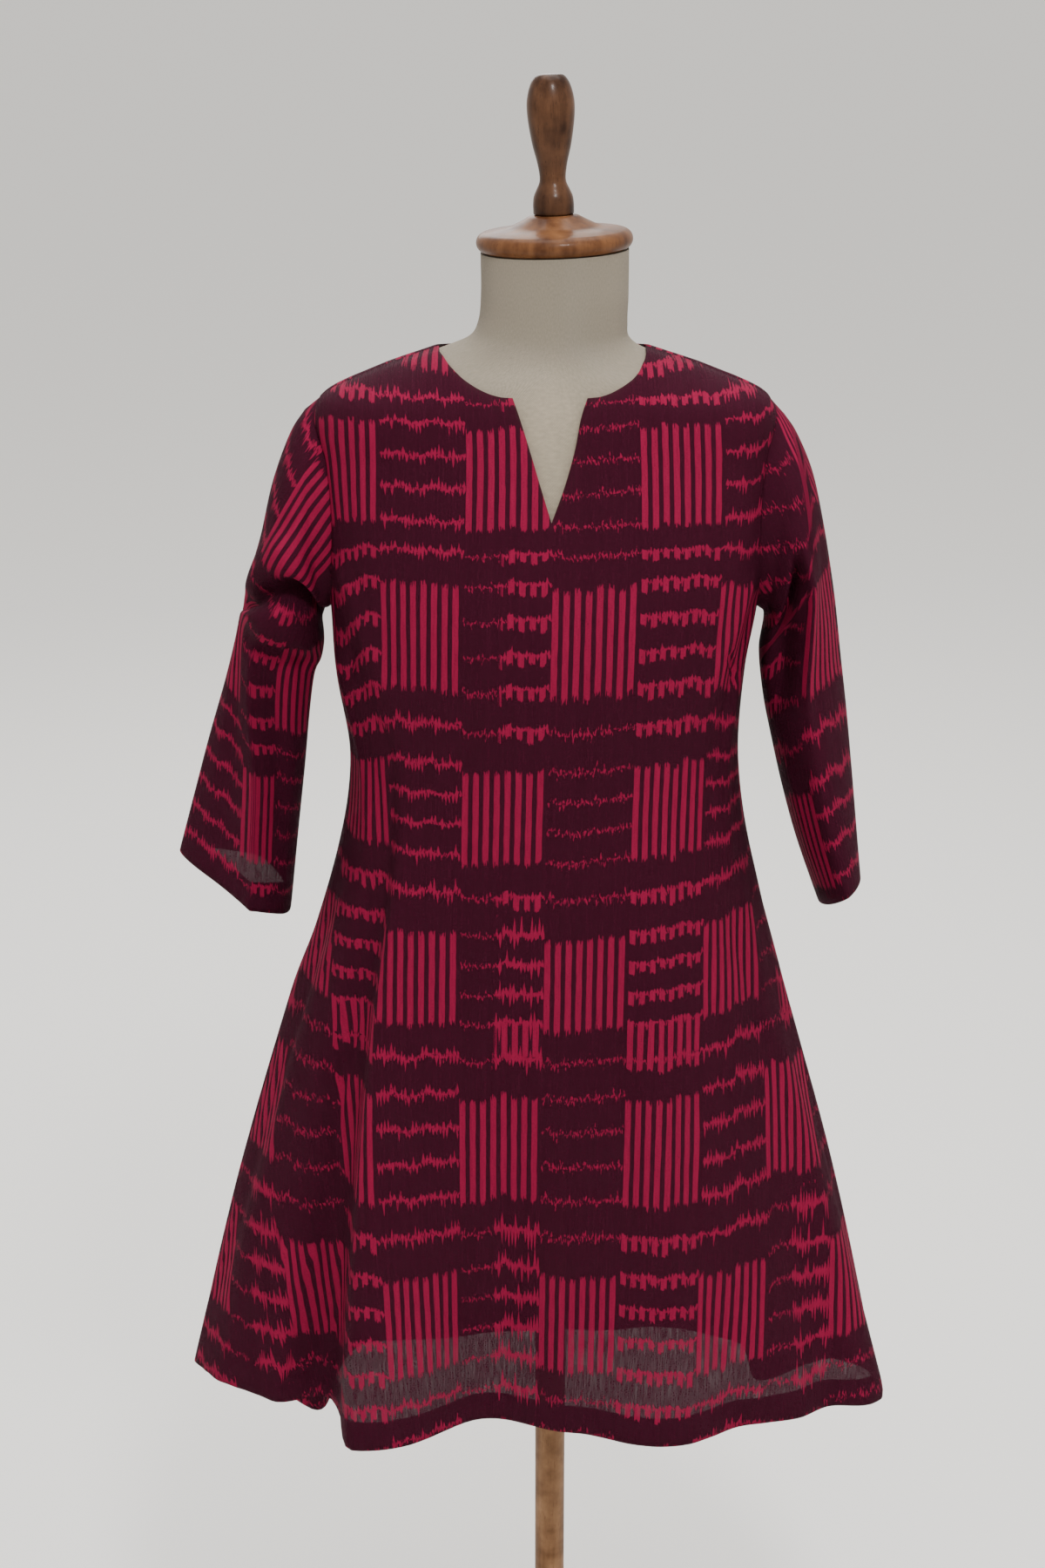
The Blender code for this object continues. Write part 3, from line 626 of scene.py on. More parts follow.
FRONT_COLUMNS = 72
HEM_ROWS = 12
EDGE_SHARE = 0.0001
HEM_DEPTH = 0.025
HEM_PLY = 0.0011
FOLD_SHARE = 0.08
HEM_SHIFT = 0.37
CLOTH = 0.0007
SEAM_DIP = 0.0007
CREASE_FADE = 0.25
SOFT_TOP_Z = 1.10
SOFT_SPAN = 0.60
SHOULDER_Z = 1.27
GIRTH_STEP = 6
WIDE_START_Z = 1.20
WIDE_SPAN = 0.09
WIDE_STRETCH = 1.03
# Pattern rows of the cloth: heights on the body, and the count of woven bars down to there
PatternRow = namedtuple("PatternRow", "height bars")
PATTERN_ROWS = tuple(PatternRow(*row) for row in (
    (1.356, -3.0),
    (1.344, -2.0),
    (1.323, -1.0),
    (1.3067, 0.0),
    (1.234, 3.0),
    (1.1905, 5.0),
    (1.109, 8.0),
    (1.042, 10.0),
    (0.9645, 13.1),
    (0.903, 15.0),
    (0.8247, 18.1),
    (0.7633, 20.0),
    (0.6684, 23.1),
    (0.6028, 25.0),
    (0.5126, 28.1),
    (0.452, 30.0),
    (0.39, 32.0),
))
PATTERN_COLUMN = 0.0678
PATTERN_START = 0.0035
BAR_PITCH = 0.0285
GRAIN_LEAN = 0.0011
SIDE_DROOP = 0.030
DROOP_START = 0.105
DROOP_REACH = 0.080
DROOP_Z = 1.115
DROOP_SPAN = 0.150
MAROON_DARK = (0.013, 0.0009, 0.0045)
MAROON_LIGHT = (0.055, 0.0050, 0.0175)
CRIMSON_DEEP = (0.150, 0.0036, 0.0240)
CRIMSON_BRIGHT = (0.285, 0.0090, 0.0480)
CLOTH_COVER = 0.75
SLUB_COVER = 0.22


def crease_depth(turn, height):
    """How far creases and darts move the cloth outwards at a place."""
    total = 0.0
    for crease in CREASES:
        share = (crease.top_height - height) / (crease.top_height - crease.low_height)
        if not -CREASE_FADE < share < 1 + CREASE_FADE:
            continue
        faded = min(CREASE_FADE, share + CREASE_FADE, 1 + CREASE_FADE - share) / CREASE_FADE
        fade = 0.5 - 0.5 * math.cos(math.pi * faded)
        middle = crease.top_turn + (crease.low_turn - crease.top_turn) * share
        away = ((turn - middle + 180) % 360 - 180) / crease.width
        total += crease.depth * fade * math.exp(-away * away)
    low = min(max((SOFT_TOP_Z - height) / SOFT_SPAN, 0.0), 1.0)
    across, along = math.sin(math.radians(turn)), math.cos(math.radians(turn))
    for round_by, down_by, depth in ((6.4, 2.2, 0.0006 + 0.0022 * low), (22.0, 9.0, 0.00045)):
        total += noise.noise(Vector((across * round_by, along * round_by, height * down_by))) * depth
    return total


def fold_depth(turn, height):
    """How far the folds push the cloth outwards at a turn, in degrees, and a height."""
    total = crease_depth(turn, height)
    for fold in FOLDS:
        if height >= fold.top:
            continue
        grown = min((fold.top - height) / (fold.top - FRONT_HEM_Z), 1.0)
        middle = fold.turn + (fold.top_turn - fold.turn) * (1 - grown)
        away = (turn - middle + 180) % 360 - 180
        reach = fold.after if away > 0 else fold.before
        if abs(away) < reach:
            total += fold.depth * grown * 0.5 * (1 + math.cos(math.pi * away / reach))
    return total


def body_spot(turn, height):
    """A point of the tunic's body, and the direction that faces outwards there."""
    point, facing = section(BODY, turn, height, read(BODY, height, "centre"))
    return point + facing * fold_depth(turn, height), facing


def hem_height(turn):
    """Height of the hem at a turn."""
    return read(HEM, (turn + 180) % 360 - 180, "height")


def turn_at(across, half, square):
    """The turn at which a section reaches a distance across, where half is its full half width."""
    return math.degrees(math.asin(rounded(max(min(across / half, 1.0), -1.0), square / 2)))


def armhole(row):
    """Turn from the centre line and height of the armhole's edge at a row."""
    swing = math.pi * row / ARMHOLE_UNITS
    middle = 0.5 * (SHOULDER_POINT_Z + UNDERARM_Z)
    height = middle + (SHOULDER_POINT_Z - middle) * math.cos(swing)
    square = read(BODY, height, "square")
    inset = ARMHOLE_INSET * max(math.sin(swing), 0.0) ** square
    return turn_at(1 - inset, 1.0, square), height


def front_inner(side, row):
    """Turn and height of the neckline, the slit or the centre front at a row."""
    if row >= SLIT[-1].row:
        share = (row - SLIT[-1].row) / (ARMHOLE_UNITS - SLIT[-1].row)
        return 0.0, SLIT[-1].height + (CHEST_Z - SLIT[-1].height) * share
    table = NECKLINE if row < SLIT[0].row else SLIT
    height = read(table, row, "height")
    centre = read(BODY, height, "centre")
    reach, half = half_width(table, row, side, centre), half_width(BODY, height, side, centre)
    return turn_at(reach, half, read(BODY, height, "square")), height


def panel_spot(side, across, down, inner, forward):
    """Turn and height on the front or the back for a place on one half of its grid."""
    share = ARMHOLE_ROWS / (ARMHOLE_ROWS + SKIRT_ROWS)
    row = min(ARMHOLE_UNITS * down / share, ARMHOLE_UNITS)
    start, end = inner(side, row), armhole(row)
    turn = start[0] + (end[0] - start[0]) * across
    height = start[1] + (end[1] - start[1]) * across
    turn = side * (turn if forward else 180 - turn)
    if down > share:
        height += (hem_height(turn) - height) * (down - share) / (1 - share)
    return turn, height


def girth(turn, height, forward):
    """Distance round the body from the centre line to a turn, straight across the shoulders."""
    start = 0.0 if forward else 180.0
    sweep = (turn - start + 180) % 360 - 180
    level = min(height, SHOULDER_Z)
    count = max(int(abs(sweep) / GIRTH_STEP), 1)
    spots = [body_spot(start + sweep * step / count, level)[0] for step in range(count + 1)]
    round_it = sum((second - first).length for first, second in zip(spots, spots[1:]))
    wide = abs(body_spot(turn, height)[0].x - body_spot(start, height)[0].x) * WIDE_STRETCH
    blend = min(max((height - WIDE_START_Z) / WIDE_SPAN, 0.0), 1.0)
    return math.copysign(round_it + (wide - round_it) * blend, sweep)


def body_grain(turn, height, forward):
    """Place in the cloth's pattern: columns across, counted from the centre, and bars down."""
    along = girth(turn, height, forward)
    aside = min(max((abs(along) - DROOP_START) / DROOP_REACH, 0.0), 1.0)
    near_bust = max(1 - ((height - DROOP_Z) / DROOP_SPAN) ** 2, 0.0)
    drooped = height + SIDE_DROOP * aside * aside * near_bust * near_bust
    bars = straight(PATTERN_ROWS, drooped, "bars")
    return (along + GRAIN_LEAN * bars / 2 - PATTERN_START) / PATTERN_COLUMN, bars


def face_outwards(mesh):
    """Turns an open shell's faces away from the pole."""
    bmesh.ops.recalc_face_normals(mesh, faces=mesh.faces)
    mesh.normal_update()
    if sum(face.normal.x * face.calc_center_median().x + face.normal.y * face.calc_center_median().y
           for face in mesh.faces) < 0:
        bmesh.ops.reverse_faces(mesh, faces=mesh.faces)


def turned_in(up):
    """How far a turned-up hem has gone in off the cloth, and back up it, at a share of its depth."""
    return HEM_PLY * min(up / FOLD_SHARE, 1.0), HEM_DEPTH * max(up - FOLD_SHARE, 0.0) / (1 - FOLD_SHARE)


def hem_grain(place, up):
    """The pattern's place on a turned-up hem, from its place on the fold."""
    return place[0] + HEM_SHIFT, place[1] + HEM_DEPTH * up / BAR_PITCH


def as_cloth(name, mesh, finish):
    """Makes a piece of the tunic of a bmesh, as thick as its cloth."""
    piece = place_mesh(name, mesh, finish)
    shell = piece.modifiers.new("Cloth", "SOLIDIFY")
    shell.thickness = CLOTH
    shell.offset = 0.0
    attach(piece, "root")
    return piece


def build_panel(name, columns, inner, forward, finish):
    """The front or the back in two halves that share their centre line, with its turned-up hem."""
    mesh = bmesh.new()
    for side in (-1, 1):

        def on_body(across, down):
            turn, height = panel_spot(side, across, down, inner, forward)
            point, facing = body_spot(turn, height)
            if across > 1 - EDGE_SHARE or down < EDGE_SHARE:
                point -= facing * SEAM_DIP
            return point, body_grain(turn, height, forward)

        def turned_up(across, up):
            turn, height = panel_spot(side, across, 1.0, inner, forward)
            inwards, back_up = turned_in(up)
            point, facing = body_spot(turn, height + back_up)
            return point - facing * inwards, hem_grain(body_grain(turn, height, forward), up)

        lay_grid(mesh, columns, ARMHOLE_ROWS + SKIRT_ROWS, on_body)
        lay_grid(mesh, columns, HEM_ROWS, turned_up)
    bmesh.ops.remove_doubles(mesh, verts=mesh.verts, dist=MERGE)
    face_outwards(mesh)
    return as_cloth(name, mesh, finish)


# The cloth's pattern, woven from threads that were tied and dyed before weaving: blocks of eight
# crimson stripes that alternate both ways with blocks of jagged crimson bars, on dark maroon. Its
# grain counts columns across and bars down, and a row of blocks is five bars tall.
STRIPES = 8.0
THREADS = 88.0
BUNDLES = 30.0
SPIKES = 24.0
ROW_BARS = 5.0
BLOCK_BARS = 3.14
BLOCK_START = 0.10
STRIPE_MIDDLE = 0.31
STRIPE_HALF = 0.285
LATE_BARS = 14.5
LADDER_ROW = 3.0
WAYS_OF_BARS = 4.0

ikat, ikat_in, ikat_out = new_group(
    "ikat_pattern",
    [
        ("Grain", "NodeSocketVector", None),
        ("Ground Dark", "NodeSocketColor", (*MAROON_DARK, 1.0)),
        ("Ground Light", "NodeSocketColor", (*MAROON_LIGHT, 1.0)),
        ("Red Deep", "NodeSocketColor", (*CRIMSON_DEEP, 1.0)),
        ("Red Bright", "NodeSocketColor", (*CRIMSON_BRIGHT, 1.0)),
    ],
    [("Color", "NodeSocketColor"), ("Height", "NodeSocketFloat"), ("Cover", "NodeSocketFloat")],
)
times, plus, minus, scaled, above, under, whole_of, rest_of, size_of, modulo = (
    partial(sum_of, ikat, operation)
    for operation in ("MULTIPLY", "ADD", "SUBTRACT", "MULTIPLY_ADD", "GREATER_THAN", "LESS_THAN", "FLOOR",
                      "FRACT", "ABSOLUTE", "FLOORED_MODULO"))


def chance(first, second=0.5):
    """A steady random number for a whole number, or a pair of them."""
    node = ikat.nodes.new("ShaderNodeTexWhiteNoise")
    node.noise_dimensions = "2D"
    ikat.links.new(spot_of(ikat, plus(first, 0.5), second), node.inputs["Vector"])
    return node.outputs["Value"]


def soft_step(value, low, high):
    """From 0 at low to 1 at high, eased."""
    node = ikat.nodes.new("ShaderNodeMapRange")
    node.interpolation_type = "SMOOTHSTEP"
    for term, label in ((value, "Value"), (low, "From Min"), (high, "From Max")):
        join(ikat, term, node.inputs[label])
    return node.outputs["Result"]


def is_one(value, number):
    """1 where a whole number is this one."""
    return sum_of(ikat, "COMPARE", value, number, 0.4)


def jitter(source, size):
    """A random number spread evenly about nothing."""
    return times(minus(source, 0.5), size)


def blotch(across_by, down_by, detail):
    """Smooth noise with cells so many to a column and to a bar."""
    return cloud(ikat, spot_of(ikat, times(across, across_by), times(bars, down_by)), 1.0, detail)


parted = ikat.nodes.new("ShaderNodeSeparateXYZ")
ikat.links.new(ikat_in["Grain"], parted.inputs[0])
across, bars = parted.outputs["X"], parted.outputs["Y"]
column, within = whole_of(across), rest_of(across)
thread, bundle = whole_of(times(across, THREADS)), whole_of(times(across, BUNDLES))
half_column, stripe = whole_of(times(across, 2.0)), whole_of(times(across, STRIPES))
slip = jitter(chance(half_column, 3.0), 0.26)
wave = jitter(cloud(ikat, spot_of(ikat, across, 4.0), 3.1, 1.0), 0.5)
thread_jag = jitter(chance(thread, 1.0), 0.17)
common = plus(slip, wave)

# Stripes: eight to a column, in every other row, their ends feathered thread by thread
row = whole_of(sum_of(ikat, "DIVIDE", plus(bars, 1.0), ROW_BARS))
in_row = minus(bars, times(row, ROW_BARS))
ends = plus(in_row, plus(times(common, 0.6), plus(thread_jag, jitter(chance(stripe, row), 0.14))))
inside_rows = times(soft_step(ends, BLOCK_START - 0.04, BLOCK_START + 0.04),
                    soft_step(ends, BLOCK_BARS + 0.04, BLOCK_BARS - 0.04))
waver = jitter(cloud(ikat, spot_of(ikat, times(across, 30.0), bars), 1.3, 2.0), 0.13)
off_stripe = size_of(minus(rest_of(plus(times(across, STRIPES), waver)), STRIPE_MIDDLE))
stripe_mask = soft_step(off_stripe, STRIPE_HALF + 0.03, STRIPE_HALF - 0.03)
striped = above(modulo(plus(column, row), 2.0), 0.5)
unstriped = minus(1.0, striped)
stripes = times(times(stripe_mask, inside_rows), striped)
in_block = times(striped, times(above(in_row, -0.5), under(in_row, 3.5)))

# Bars: each column has its own way of them, thin and broken, toothed like a comb, plain, or blotted
# on one side and faint on the other; a way has its reach and its wear
kind = modulo(column, WAYS_OF_BARS)
thin, combed, plain, blotted = (is_one(kind, number) for number in (0.0, 1.0, 2.0, 3.0))
blot_side = times(blotted, soft_step(within, 0.40, 0.46))
faint_side = minus(blotted, blot_side)
bundle_jag = jitter(chance(bundle, 9.0), 0.07)
thin_jag = times(thin, jitter(chance(bundle, 21.0), 0.16))
at_bar = plus(bars, scaled(common, 0.75, plus(plus(bundle_jag, thin_jag), times(thread_jag, 0.5))))
nearest = sum_of(ikat, "ROUND", at_bar)
below = minus(at_bar, nearest)
late_rows = above(bars, LATE_BARS)
early_rows = minus(1.0, late_rows)
reach = times(blot_side, scaled(late_rows, 1.00, 0.50))
worn = times(blot_side, 0.22)
for mask, its_reach, its_wear in (
        (faint_side, 0.55, 0.50), (plain, 0.90, 0.36), (combed, 0.50, 0.30), (thin, 0.62, 0.49)):
    reach, worn = scaled(mask, its_reach, reach), scaled(mask, its_wear, worn)


def spikes(salt, least, most):
    """How far threads of the bar run on past its middle, long and short ones side by side."""
    cells = times(across, SPIKES)
    slant = size_of(scaled(rest_of(cells), 2.0, -1.0))
    length = sum_of(ikat, "POWER", chance(whole_of(cells), plus(nearest, salt)), 1.5)
    long_one = times(length, minus(1.0, slant))
    short_one = chance(thread, plus(nearest, salt + 40.0))
    return times(scaled(long_one, most, scaled(short_one, 0.06, least)), reach)


top_edge = plus(below, spikes(7.0, 0.004, 0.33))
low_edge = minus(below, spikes(31.0, 0.008, 0.36))
bar_mask = times(soft_step(top_edge, -0.02, 0.02), soft_step(low_edge, 0.02, -0.02))
tooth_reach = scaled(chance(stripe, nearest), 0.16, 0.24)
tooth = times(above(below, -0.07), soft_step(below, tooth_reach, minus(tooth_reach, 0.04)))
teeth = times(times(tooth, stripe_mask), plus(combed, times(blot_side, early_rows)))
kept = soft_step(blotch(46.0, 7.0, 2.0), minus(worn, 0.05), plus(worn, 0.05))
bars_red = times(times(sum_of(ikat, "MAXIMUM", bar_mask, teeth), kept), minus(1.0, in_block))

# One row has its lowest bars joined by upright threads, like a ladder
ladder_place = times(is_one(row, LADDER_ROW), plus(combed, blot_side))
ladder_span = times(above(in_row, 3.0), under(in_row, 3.95))
ladder = times(ladder_place, times(ladder_span, times(stripe_mask, unstriped)))
red = sum_of(ikat, "MINIMUM", plus(sum_of(ikat, "MAXIMUM", stripes, bars_red), ladder), 1.0)

# Uneven threads: their tone, the relief they leave, and how much of the light they stop
slubs, fine = blotch(70.0, 1.6, 3.0), blotch(48.0, 38.0, 4.0)
tone = scaled(chance(thread, 5.0), 0.16, scaled(slubs, 0.30, times(fine, 0.65)))
ground = mix_colour(ikat, tone, ikat_in["Ground Dark"], ikat_in["Ground Light"])
crimson = mix_colour(ikat, tone, ikat_in["Red Deep"], ikat_in["Red Bright"])
speckle = times(red, scaled(soft_step(fine, 0.30, 0.50), 0.25, 0.72))
cover = scaled(soft_step(slubs, 0.35, 0.60), 0.5, times(soft_step(fine, 0.38, 0.60), 0.4))
ikat.links.new(mix_colour(ikat, speckle, ground, crimson), ikat_out["Color"])
ikat.links.new(scaled(slubs, 0.5, times(fine, 0.6)), ikat_out["Height"])
ikat.links.new(scaled(red, 0.3, cover), ikat_out["Cover"])

cotton, shader = plain_finish("ikat_cotton", MAROON_LIGHT, 0.84)
shader.inputs["Specular IOR Level"].default_value = 0.06
tree = cotton.node_tree
grain = tree.nodes.new("ShaderNodeUVMap")
grain.uv_map = "grain"
woven = use_group(tree, ikat, Grain=grain.outputs["UV"])
tree.links.new(woven["Color"], shader.inputs["Base Color"])
relief_on(tree, shader, woven["Height"], 0.0007, 0.7)
cover = sum_of(tree, "MULTIPLY_ADD", woven["Cover"], SLUB_COVER, CLOTH_COVER)
tree.links.new(cover, shader.inputs["Alpha"])

front = build_panel("front_panel", FRONT_COLUMNS, front_inner, True, cotton)
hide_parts("tunic_front")

# The back: one flared piece, cut higher at the neck and a little longer at the hem, sewn to the
# front at the shoulders and sides.
BACK_NECK_DROP = 0.008
BackRow = namedtuple("BackRow", "row height")
BACK_CENTRE = (
    BackRow(5, NECKLINE[0].height - BACK_NECK_DROP),
    BackRow(6, 1.33),
    BackRow(7, 1.307),
    BackRow(8, 1.277),
    BackRow(9, 1.237),
    BackRow(10, CHEST_Z),
)
BACK_COLUMNS = 56


def back_inner(side, row):
    """Turn from the centre back and height of the back neckline or the centre back at a row."""
    neck_rows = BACK_CENTRE[0].row
    if row > neck_rows:
        return 0.0, read(BACK_CENTRE, row, "height")
    along = row / neck_rows
    return 90 * (1 - along), NECKLINE[0].height - BACK_NECK_DROP * math.sin(0.5 * math.pi * along)


back = build_panel("back_panel", BACK_COLUMNS, back_inner, False, cotton)
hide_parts("tunic_back")

# The sleeves: three-quarter length, each one piece sewn into its armhole and down the underarm,
# pressed with a crease down the front, and turned up once at the cuff.
Sleeve = namedtuple("Sleeve", "step outer_x outer_z inner_x inner_z front back pinch shift rise")
SLEEVE_RIGHT = tuple(Sleeve(*row) for row in (
    (1, 0.197, 1.301, 0.185, 1.14, 0.058, 0.056, 0.0, 0.0, 0.0),
    (2, 0.209, 1.2825, 0.1875, 1.134, 0.064, 0.058, 0.05, 0.0, 0.0),
    (3, 0.2235, 1.245, 0.188, 1.127, 0.068, 0.06, 0.1, 0.004, 0.0),
    (4, 0.234, 1.203, 0.187, 1.119, 0.07, 0.06, 0.15, 0.008, 0.0),
    (5, 0.245, 1.168, 0.187, 1.11, 0.069, 0.058, 0.2, 0.014, 0.0),
    (6, 0.2505, 1.147, 0.1895, 1.098, 0.05, 0.054, 0.3, 0.018, 0.0),
    (7, 0.2565, 1.122, 0.1955, 1.084, 0.053, 0.052, 0.45, 0.016, 0.0),
    (8, 0.268, 1.08, 0.2005, 1.05, 0.056, 0.05, 0.55, 0.009, 0.0),
    (9, 0.2835, 1.03, 0.2055, 1.005, 0.059, 0.048, 0.6, -0.003, -0.001),
    (10, 0.2985, 0.978, 0.213, 0.945, 0.062, 0.046, 0.6, -0.011, -0.002),
    (11, 0.312, 0.931, 0.2208, 0.879, 0.065, 0.044, 0.55, -0.018, -0.003),
))
SLEEVE_LEFT = tuple(Sleeve(*row) for row in (
    (1, 0.182, 1.2975, 0.17, 1.1395, 0.058, 0.056, 0.0, 0.0, 0.0),
    (2, 0.192, 1.283, 0.1715, 1.133, 0.064, 0.058, 0.05, 0.004, 0.0),
    (3, 0.2045, 1.255, 0.171, 1.125, 0.068, 0.06, 0.15, 0.008, 0.0),
    (4, 0.2135, 1.22, 0.169, 1.116, 0.069, 0.06, 0.35, 0.01, 0.0),
    (5, 0.2215, 1.182, 0.168, 1.106, 0.068, 0.06, 0.45, 0.007, 0.0),
    (6, 0.228, 1.145, 0.1695, 1.088, 0.066, 0.06, 0.45, 0.003, 0.001),
    (7, 0.234, 1.102, 0.1735, 1.062, 0.065, 0.06, 0.4, -0.002, 0.003),
    (8, 0.24, 1.06, 0.1795, 1.035, 0.065, 0.06, 0.3, -0.004, 0.006),
    (9, 0.246, 1.012, 0.1905, 0.99, 0.065, 0.06, 0.2, -0.004, 0.009),
    (10, 0.252, 0.96, 0.2045, 0.942, 0.064, 0.06, 0.15, -0.002, 0.012),
    (11, 0.2575, 0.91, 0.2255, 0.884, 0.063, 0.06, 0.15, 0.0, 0.015),
))
SLEEVE_STEPS = 11
CUFF_LENGTH = 0.060
SLEEVE_COLUMNS = 144
SLEEVE_ROWS = 110
CUFF_ROWS = 10


def sleeve_ring_spot(table, side, step, angle):
    """A point of a sleeve's ring, the angle from its outer edge round the front to the inner edge."""
    if step < 1:
        row = ARMHOLE_UNITS * (angle if angle <= math.pi else math.tau - angle) / math.pi
        turn, height = armhole(row)
        seam, facing = body_spot(side * (turn if angle <= math.pi else 180 - turn), height)
        seam -= facing * SEAM_DIP
        return seam.lerp(sleeve_ring_spot(table, side, 1, angle), max(step, 0.0))
    value = {name: read(table, step, name) for name in Sleeve._fields[1:]}
    outer = Vector((side * value["outer_x"], 0.0, value["outer_z"]))
    inner = Vector((side * value["inner_x"], 0.0, value["inner_z"]))
    across, along = math.cos(angle), math.sin(angle)
    point = (outer + inner) / 2 + (outer - inner) / 2 * across
    point.x += side * value["shift"] * along * along
    pinch = value["pinch"]
    reach = math.copysign(abs(along) * (1 - pinch) + (1 - abs(across)) * pinch, along)
    point.y = -reach * (value["front"] if reach > 0 else value["back"])
    point.z += value["rise"] * reach
    return point


Tuck = namedtuple("Tuck", "step angle depth steps angles slant")
RIGHT_TUCKS = (
    Tuck(3.75, 0.48, -0.027, 0.75, 0.66, -5.6),
    Tuck(2.85, 0.46, 0.006, 0.8, 0.55, -5.6),
    Tuck(6.6, 0.02, -0.006, 0.5, 0.14, 0.0),
    Tuck(8.6, 0.5, 0.0035, 4.2, 0.045, 0.0),
    Tuck(8.6, 0.34, -0.0055, 3.6, 0.14, 0.0),
    Tuck(8.4, 0.66, -0.004, 3.4, 0.13, 0.0),
    Tuck(6.3, 0.8, -0.003, 0.9, 0.1, 2.0),
    Tuck(6.0, -0.5, -0.01, 0.6, 0.45, 3.0),
    Tuck(8.5, -0.35, -0.004, 2.6, 0.14, 0.0),
    Tuck(7.6, -0.66, -0.005, 2.0, 0.12, 0.0),
)
LEFT_TUCKS = (
    Tuck(4.8, 0.49, 0.006, 4.2, 0.06, 0.0),
    Tuck(3.2, 0.64, -0.024, 0.85, 0.2, 4.0),
    Tuck(5.6, 0.7, -0.012, 2.6, 0.18, 0.0),
    Tuck(4.2, 0.32, -0.004, 2.0, 0.14, 0.0),
    Tuck(8.8, 0.42, 0.0025, 2.0, 0.12, 0.0),
    Tuck(9.4, 0.66, -0.0035, 2.1, 0.14, 0.0),
    Tuck(5.8, -0.6, -0.01, 1.2, 0.3, 3.0),
    Tuck(8.2, -0.4, -0.004, 2.6, 0.16, 0.0),
)
SleeveRow = namedtuple("SleeveRow", "rise bars")
RIGHT_ROWS = tuple(SleeveRow(*row) for row in (
    (-0.01, 5.2),
    (0.0, 4.9),
    (0.119, 0.0),
    (0.16, -1.9),
    (0.243, -5.0),
    (0.3, -7.0),
    (0.5, -14.0),
))
LEFT_ROWS = tuple(SleeveRow(*row) for row in (
    (-0.01, 4.2),
    (0.0, 3.8),
    (0.018, 3.1),
    (0.104, 0.0),
    (0.178, -1.9),
    (0.27, -5.0),
    (0.5, -13.0),
))
Head = namedtuple("Head", "step aside column bars lean ends slant blend")
RIGHT_HEAD = Head(1.30, 0.004, -0.50, -8.45, 34.0, 3.55, -5.6, 0.5)
LEFT_HEAD = Head(1.20, -0.040, 0.00, -6.90, 17.0, 3.40, 4.0, 0.9)
Pressed = namedtuple("Pressed", "column takes")
RIGHT_CREASE = Pressed(-0.60, 0.20)
LEFT_CREASE = Pressed(-1.15, 0.0)
CREASE_HALF = 0.002
SEAM_STEPS = 0.3


def tuck_depth(tucks, step, angle):
    """How far the tucks and pressed creases move the sleeve's cloth outwards at a place."""
    total = 0.0
    for tuck in tucks:
        turned = (angle / math.pi - tuck.angle + 1) % 2 - 1
        down = abs(step - tuck.step - tuck.slant * turned) / tuck.steps
        aside = abs(turned) / tuck.angles
        if down < 1 and aside < 1:
            total += tuck.depth * 0.25 * (1 + math.cos(math.pi * down)) * (1 + math.cos(math.pi * aside))
    return total


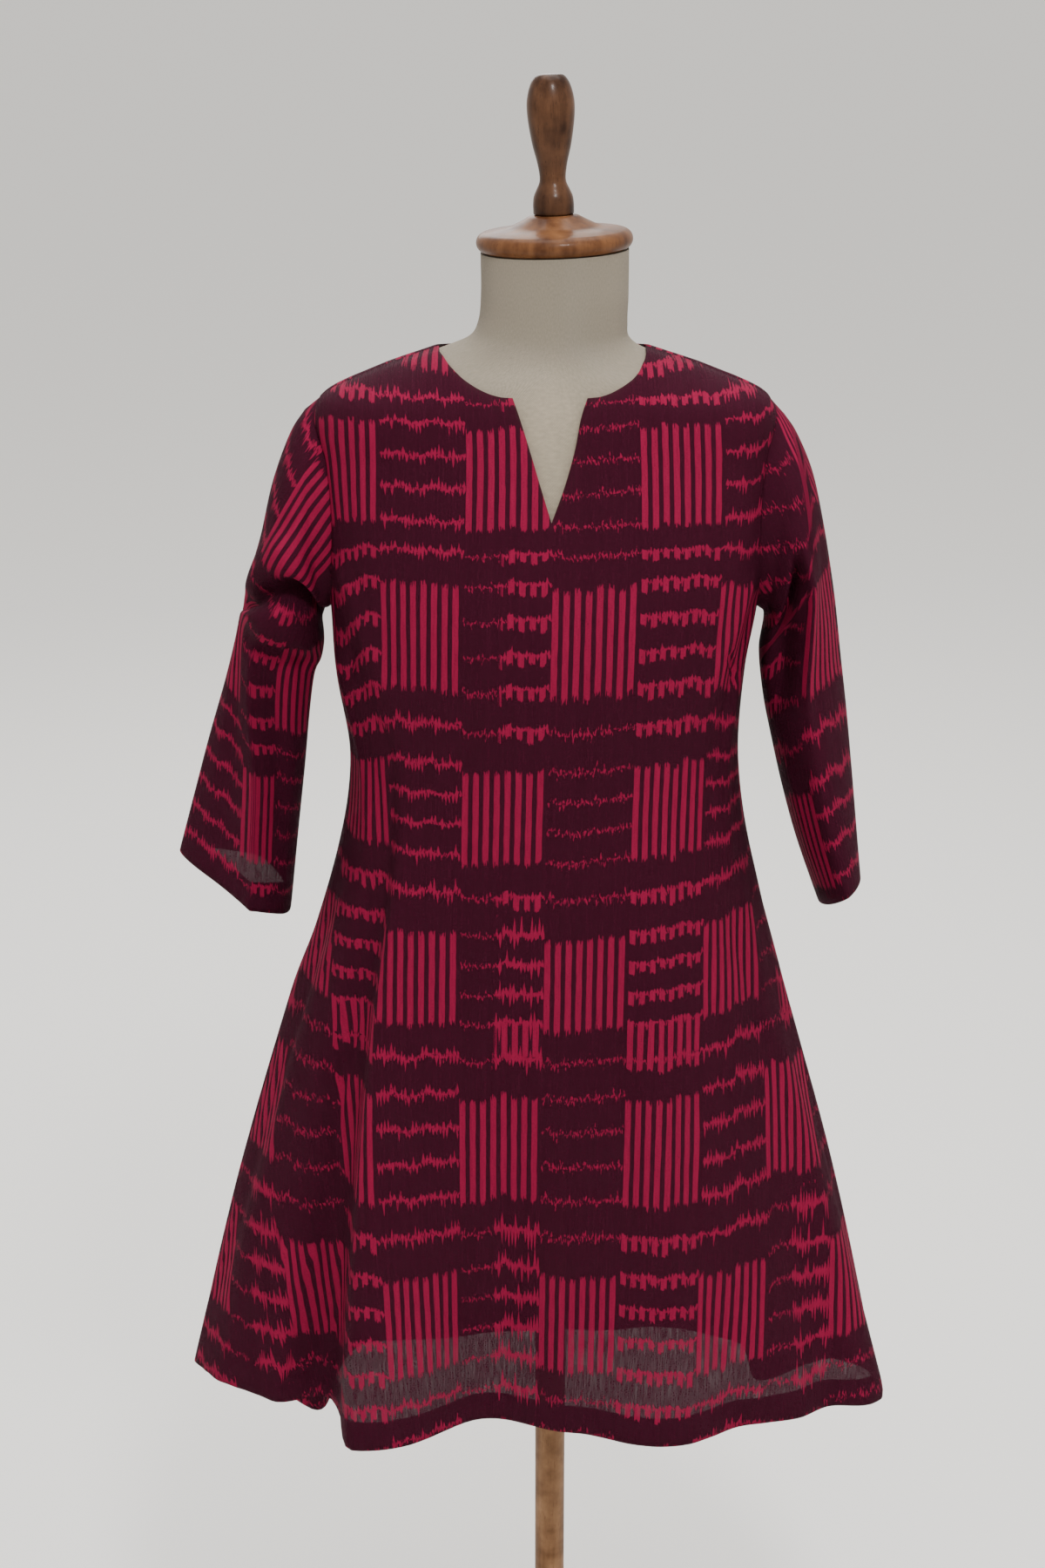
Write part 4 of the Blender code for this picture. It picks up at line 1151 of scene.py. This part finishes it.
def build_sleeve(name, side, table, tucks, rows, head, crease, finish):
    """A sleeve laid on the rings of its solid, with its cuff turned up inside."""
    mesh = bmesh.new()
    half = SLEEVE_COLUMNS // 2
    count = SLEEVE_ROWS // 2

    def middle_of(step):
        return (sleeve_ring_spot(table, side, step, 0.0) + sleeve_ring_spot(table, side, step, math.pi)) / 2

    def cloth_spot(step, angle):
        spot = sleeve_ring_spot(table, side, step, angle % math.tau)
        if step < SEAM_STEPS:
            return spot
        return spot + (spot - middle_of(step)).normalized() * tuck_depth(tucks, step, angle)

    def angle_of(across):
        return math.pi + math.tau * across

    net = [[sleeve_ring_spot(table, side, SLEEVE_STEPS * down / count, angle_of(across / half) % math.tau)
            for across in range(half + 1)] for down in range(count + 1)]
    crease_spot = round(0.75 * half)
    crease_start = net[round(head.step / SLEEVE_STEPS * count)][crease_spot]

    def run_round(ring, length_of):
        run = [0.0]
        for first, second in zip(ring, ring[1:]):
            run.append(run[-1] + length_of(second - first))
        return [value - run[crease_spot] for value in run]

    round_it = [run_round(ring, lambda step: step.length) for ring in net]
    level_run = [[value - side * (ring[crease_spot].x - crease_start.x)
                  for value in run_round(ring, lambda step: step.xy.length)] for ring in net]
    drop = [[crease_start.z - spot.z for spot in ring] for ring in net]
    up = [[0.0] * (half + 1)]
    for lower, upper in zip(net[::-1], net[-2::-1]):
        up.append([value + (second - first).length for value, first, second in zip(up[-1], lower, upper)])
    up.reverse()

    def between(values, across, down):
        x, y = min(across * half, half - 1e-6), min(down * count, count - 1e-6)
        i, j = int(x), int(y)
        first = values[j][i] + (values[j][i + 1] - values[j][i]) * (x - i)
        second = values[j + 1][i] + (values[j + 1][i + 1] - values[j + 1][i]) * (x - i)
        return first + (second - first) * (y - j)

    def sleeve_grain(across, down):
        aside, rise = between(round_it, across, down), between(up, across, down)
        taken = crease.takes * max(min(aside / CREASE_HALF, 1.0), -1.0)
        low_place = (crease.column + taken + aside / PATTERN_COLUMN, straight(rows, rise, "bars"))
        turned = (angle_of(across) / math.pi - 0.5 + 1) % 2 - 1
        fold_step = head.ends + head.slant * turned
        share = min(max((fold_step - SLEEVE_STEPS * down) / head.blend + 0.5, 0.0), 1.0)
        share = share * share * (3 - 2 * share)
        if share == 0.0:
            return low_place
        lean = math.radians(head.lean)
        s, t = between(level_run, across, down) - head.aside, between(drop, across, down)
        high_place = (head.column + (s * math.cos(lean) + t * math.sin(lean)) / PATTERN_COLUMN,
                      head.bars + (t * math.cos(lean) - s * math.sin(lean)) / BAR_PITCH)
        return tuple(low + (high - low) * share for low, high in zip(low_place, high_place))

    def on_sleeve(across, down):
        return cloth_spot(SLEEVE_STEPS * down, angle_of(across)), sleeve_grain(across, down)

    def turned_up(across, up_share):
        inwards, back_up = turned_in(up_share)
        lifted = SLEEVE_STEPS - back_up / CUFF_LENGTH
        point = cloth_spot(lifted, angle_of(across))
        point += (middle_of(lifted) - point).normalized() * inwards
        return point, hem_grain(sleeve_grain(across, 1.0), up_share)

    lay_grid(mesh, SLEEVE_COLUMNS, SLEEVE_ROWS, on_sleeve)
    lay_grid(mesh, SLEEVE_COLUMNS, CUFF_ROWS, turned_up)
    bmesh.ops.remove_doubles(mesh, verts=mesh.verts, dist=MERGE)
    bmesh.ops.recalc_face_normals(mesh, faces=mesh.faces)
    return as_cloth(name, mesh, finish)


sleeve_right = build_sleeve("sleeve_right_shell", -1, SLEEVE_RIGHT, RIGHT_TUCKS, RIGHT_ROWS, RIGHT_HEAD,
                            RIGHT_CREASE, cotton)
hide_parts("sleeve_right")
sleeve_left = build_sleeve("sleeve_left_shell", 1, SLEEVE_LEFT, LEFT_TUCKS, LEFT_ROWS, LEFT_HEAD,
                           LEFT_CREASE, cotton)
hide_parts("sleeve_left")
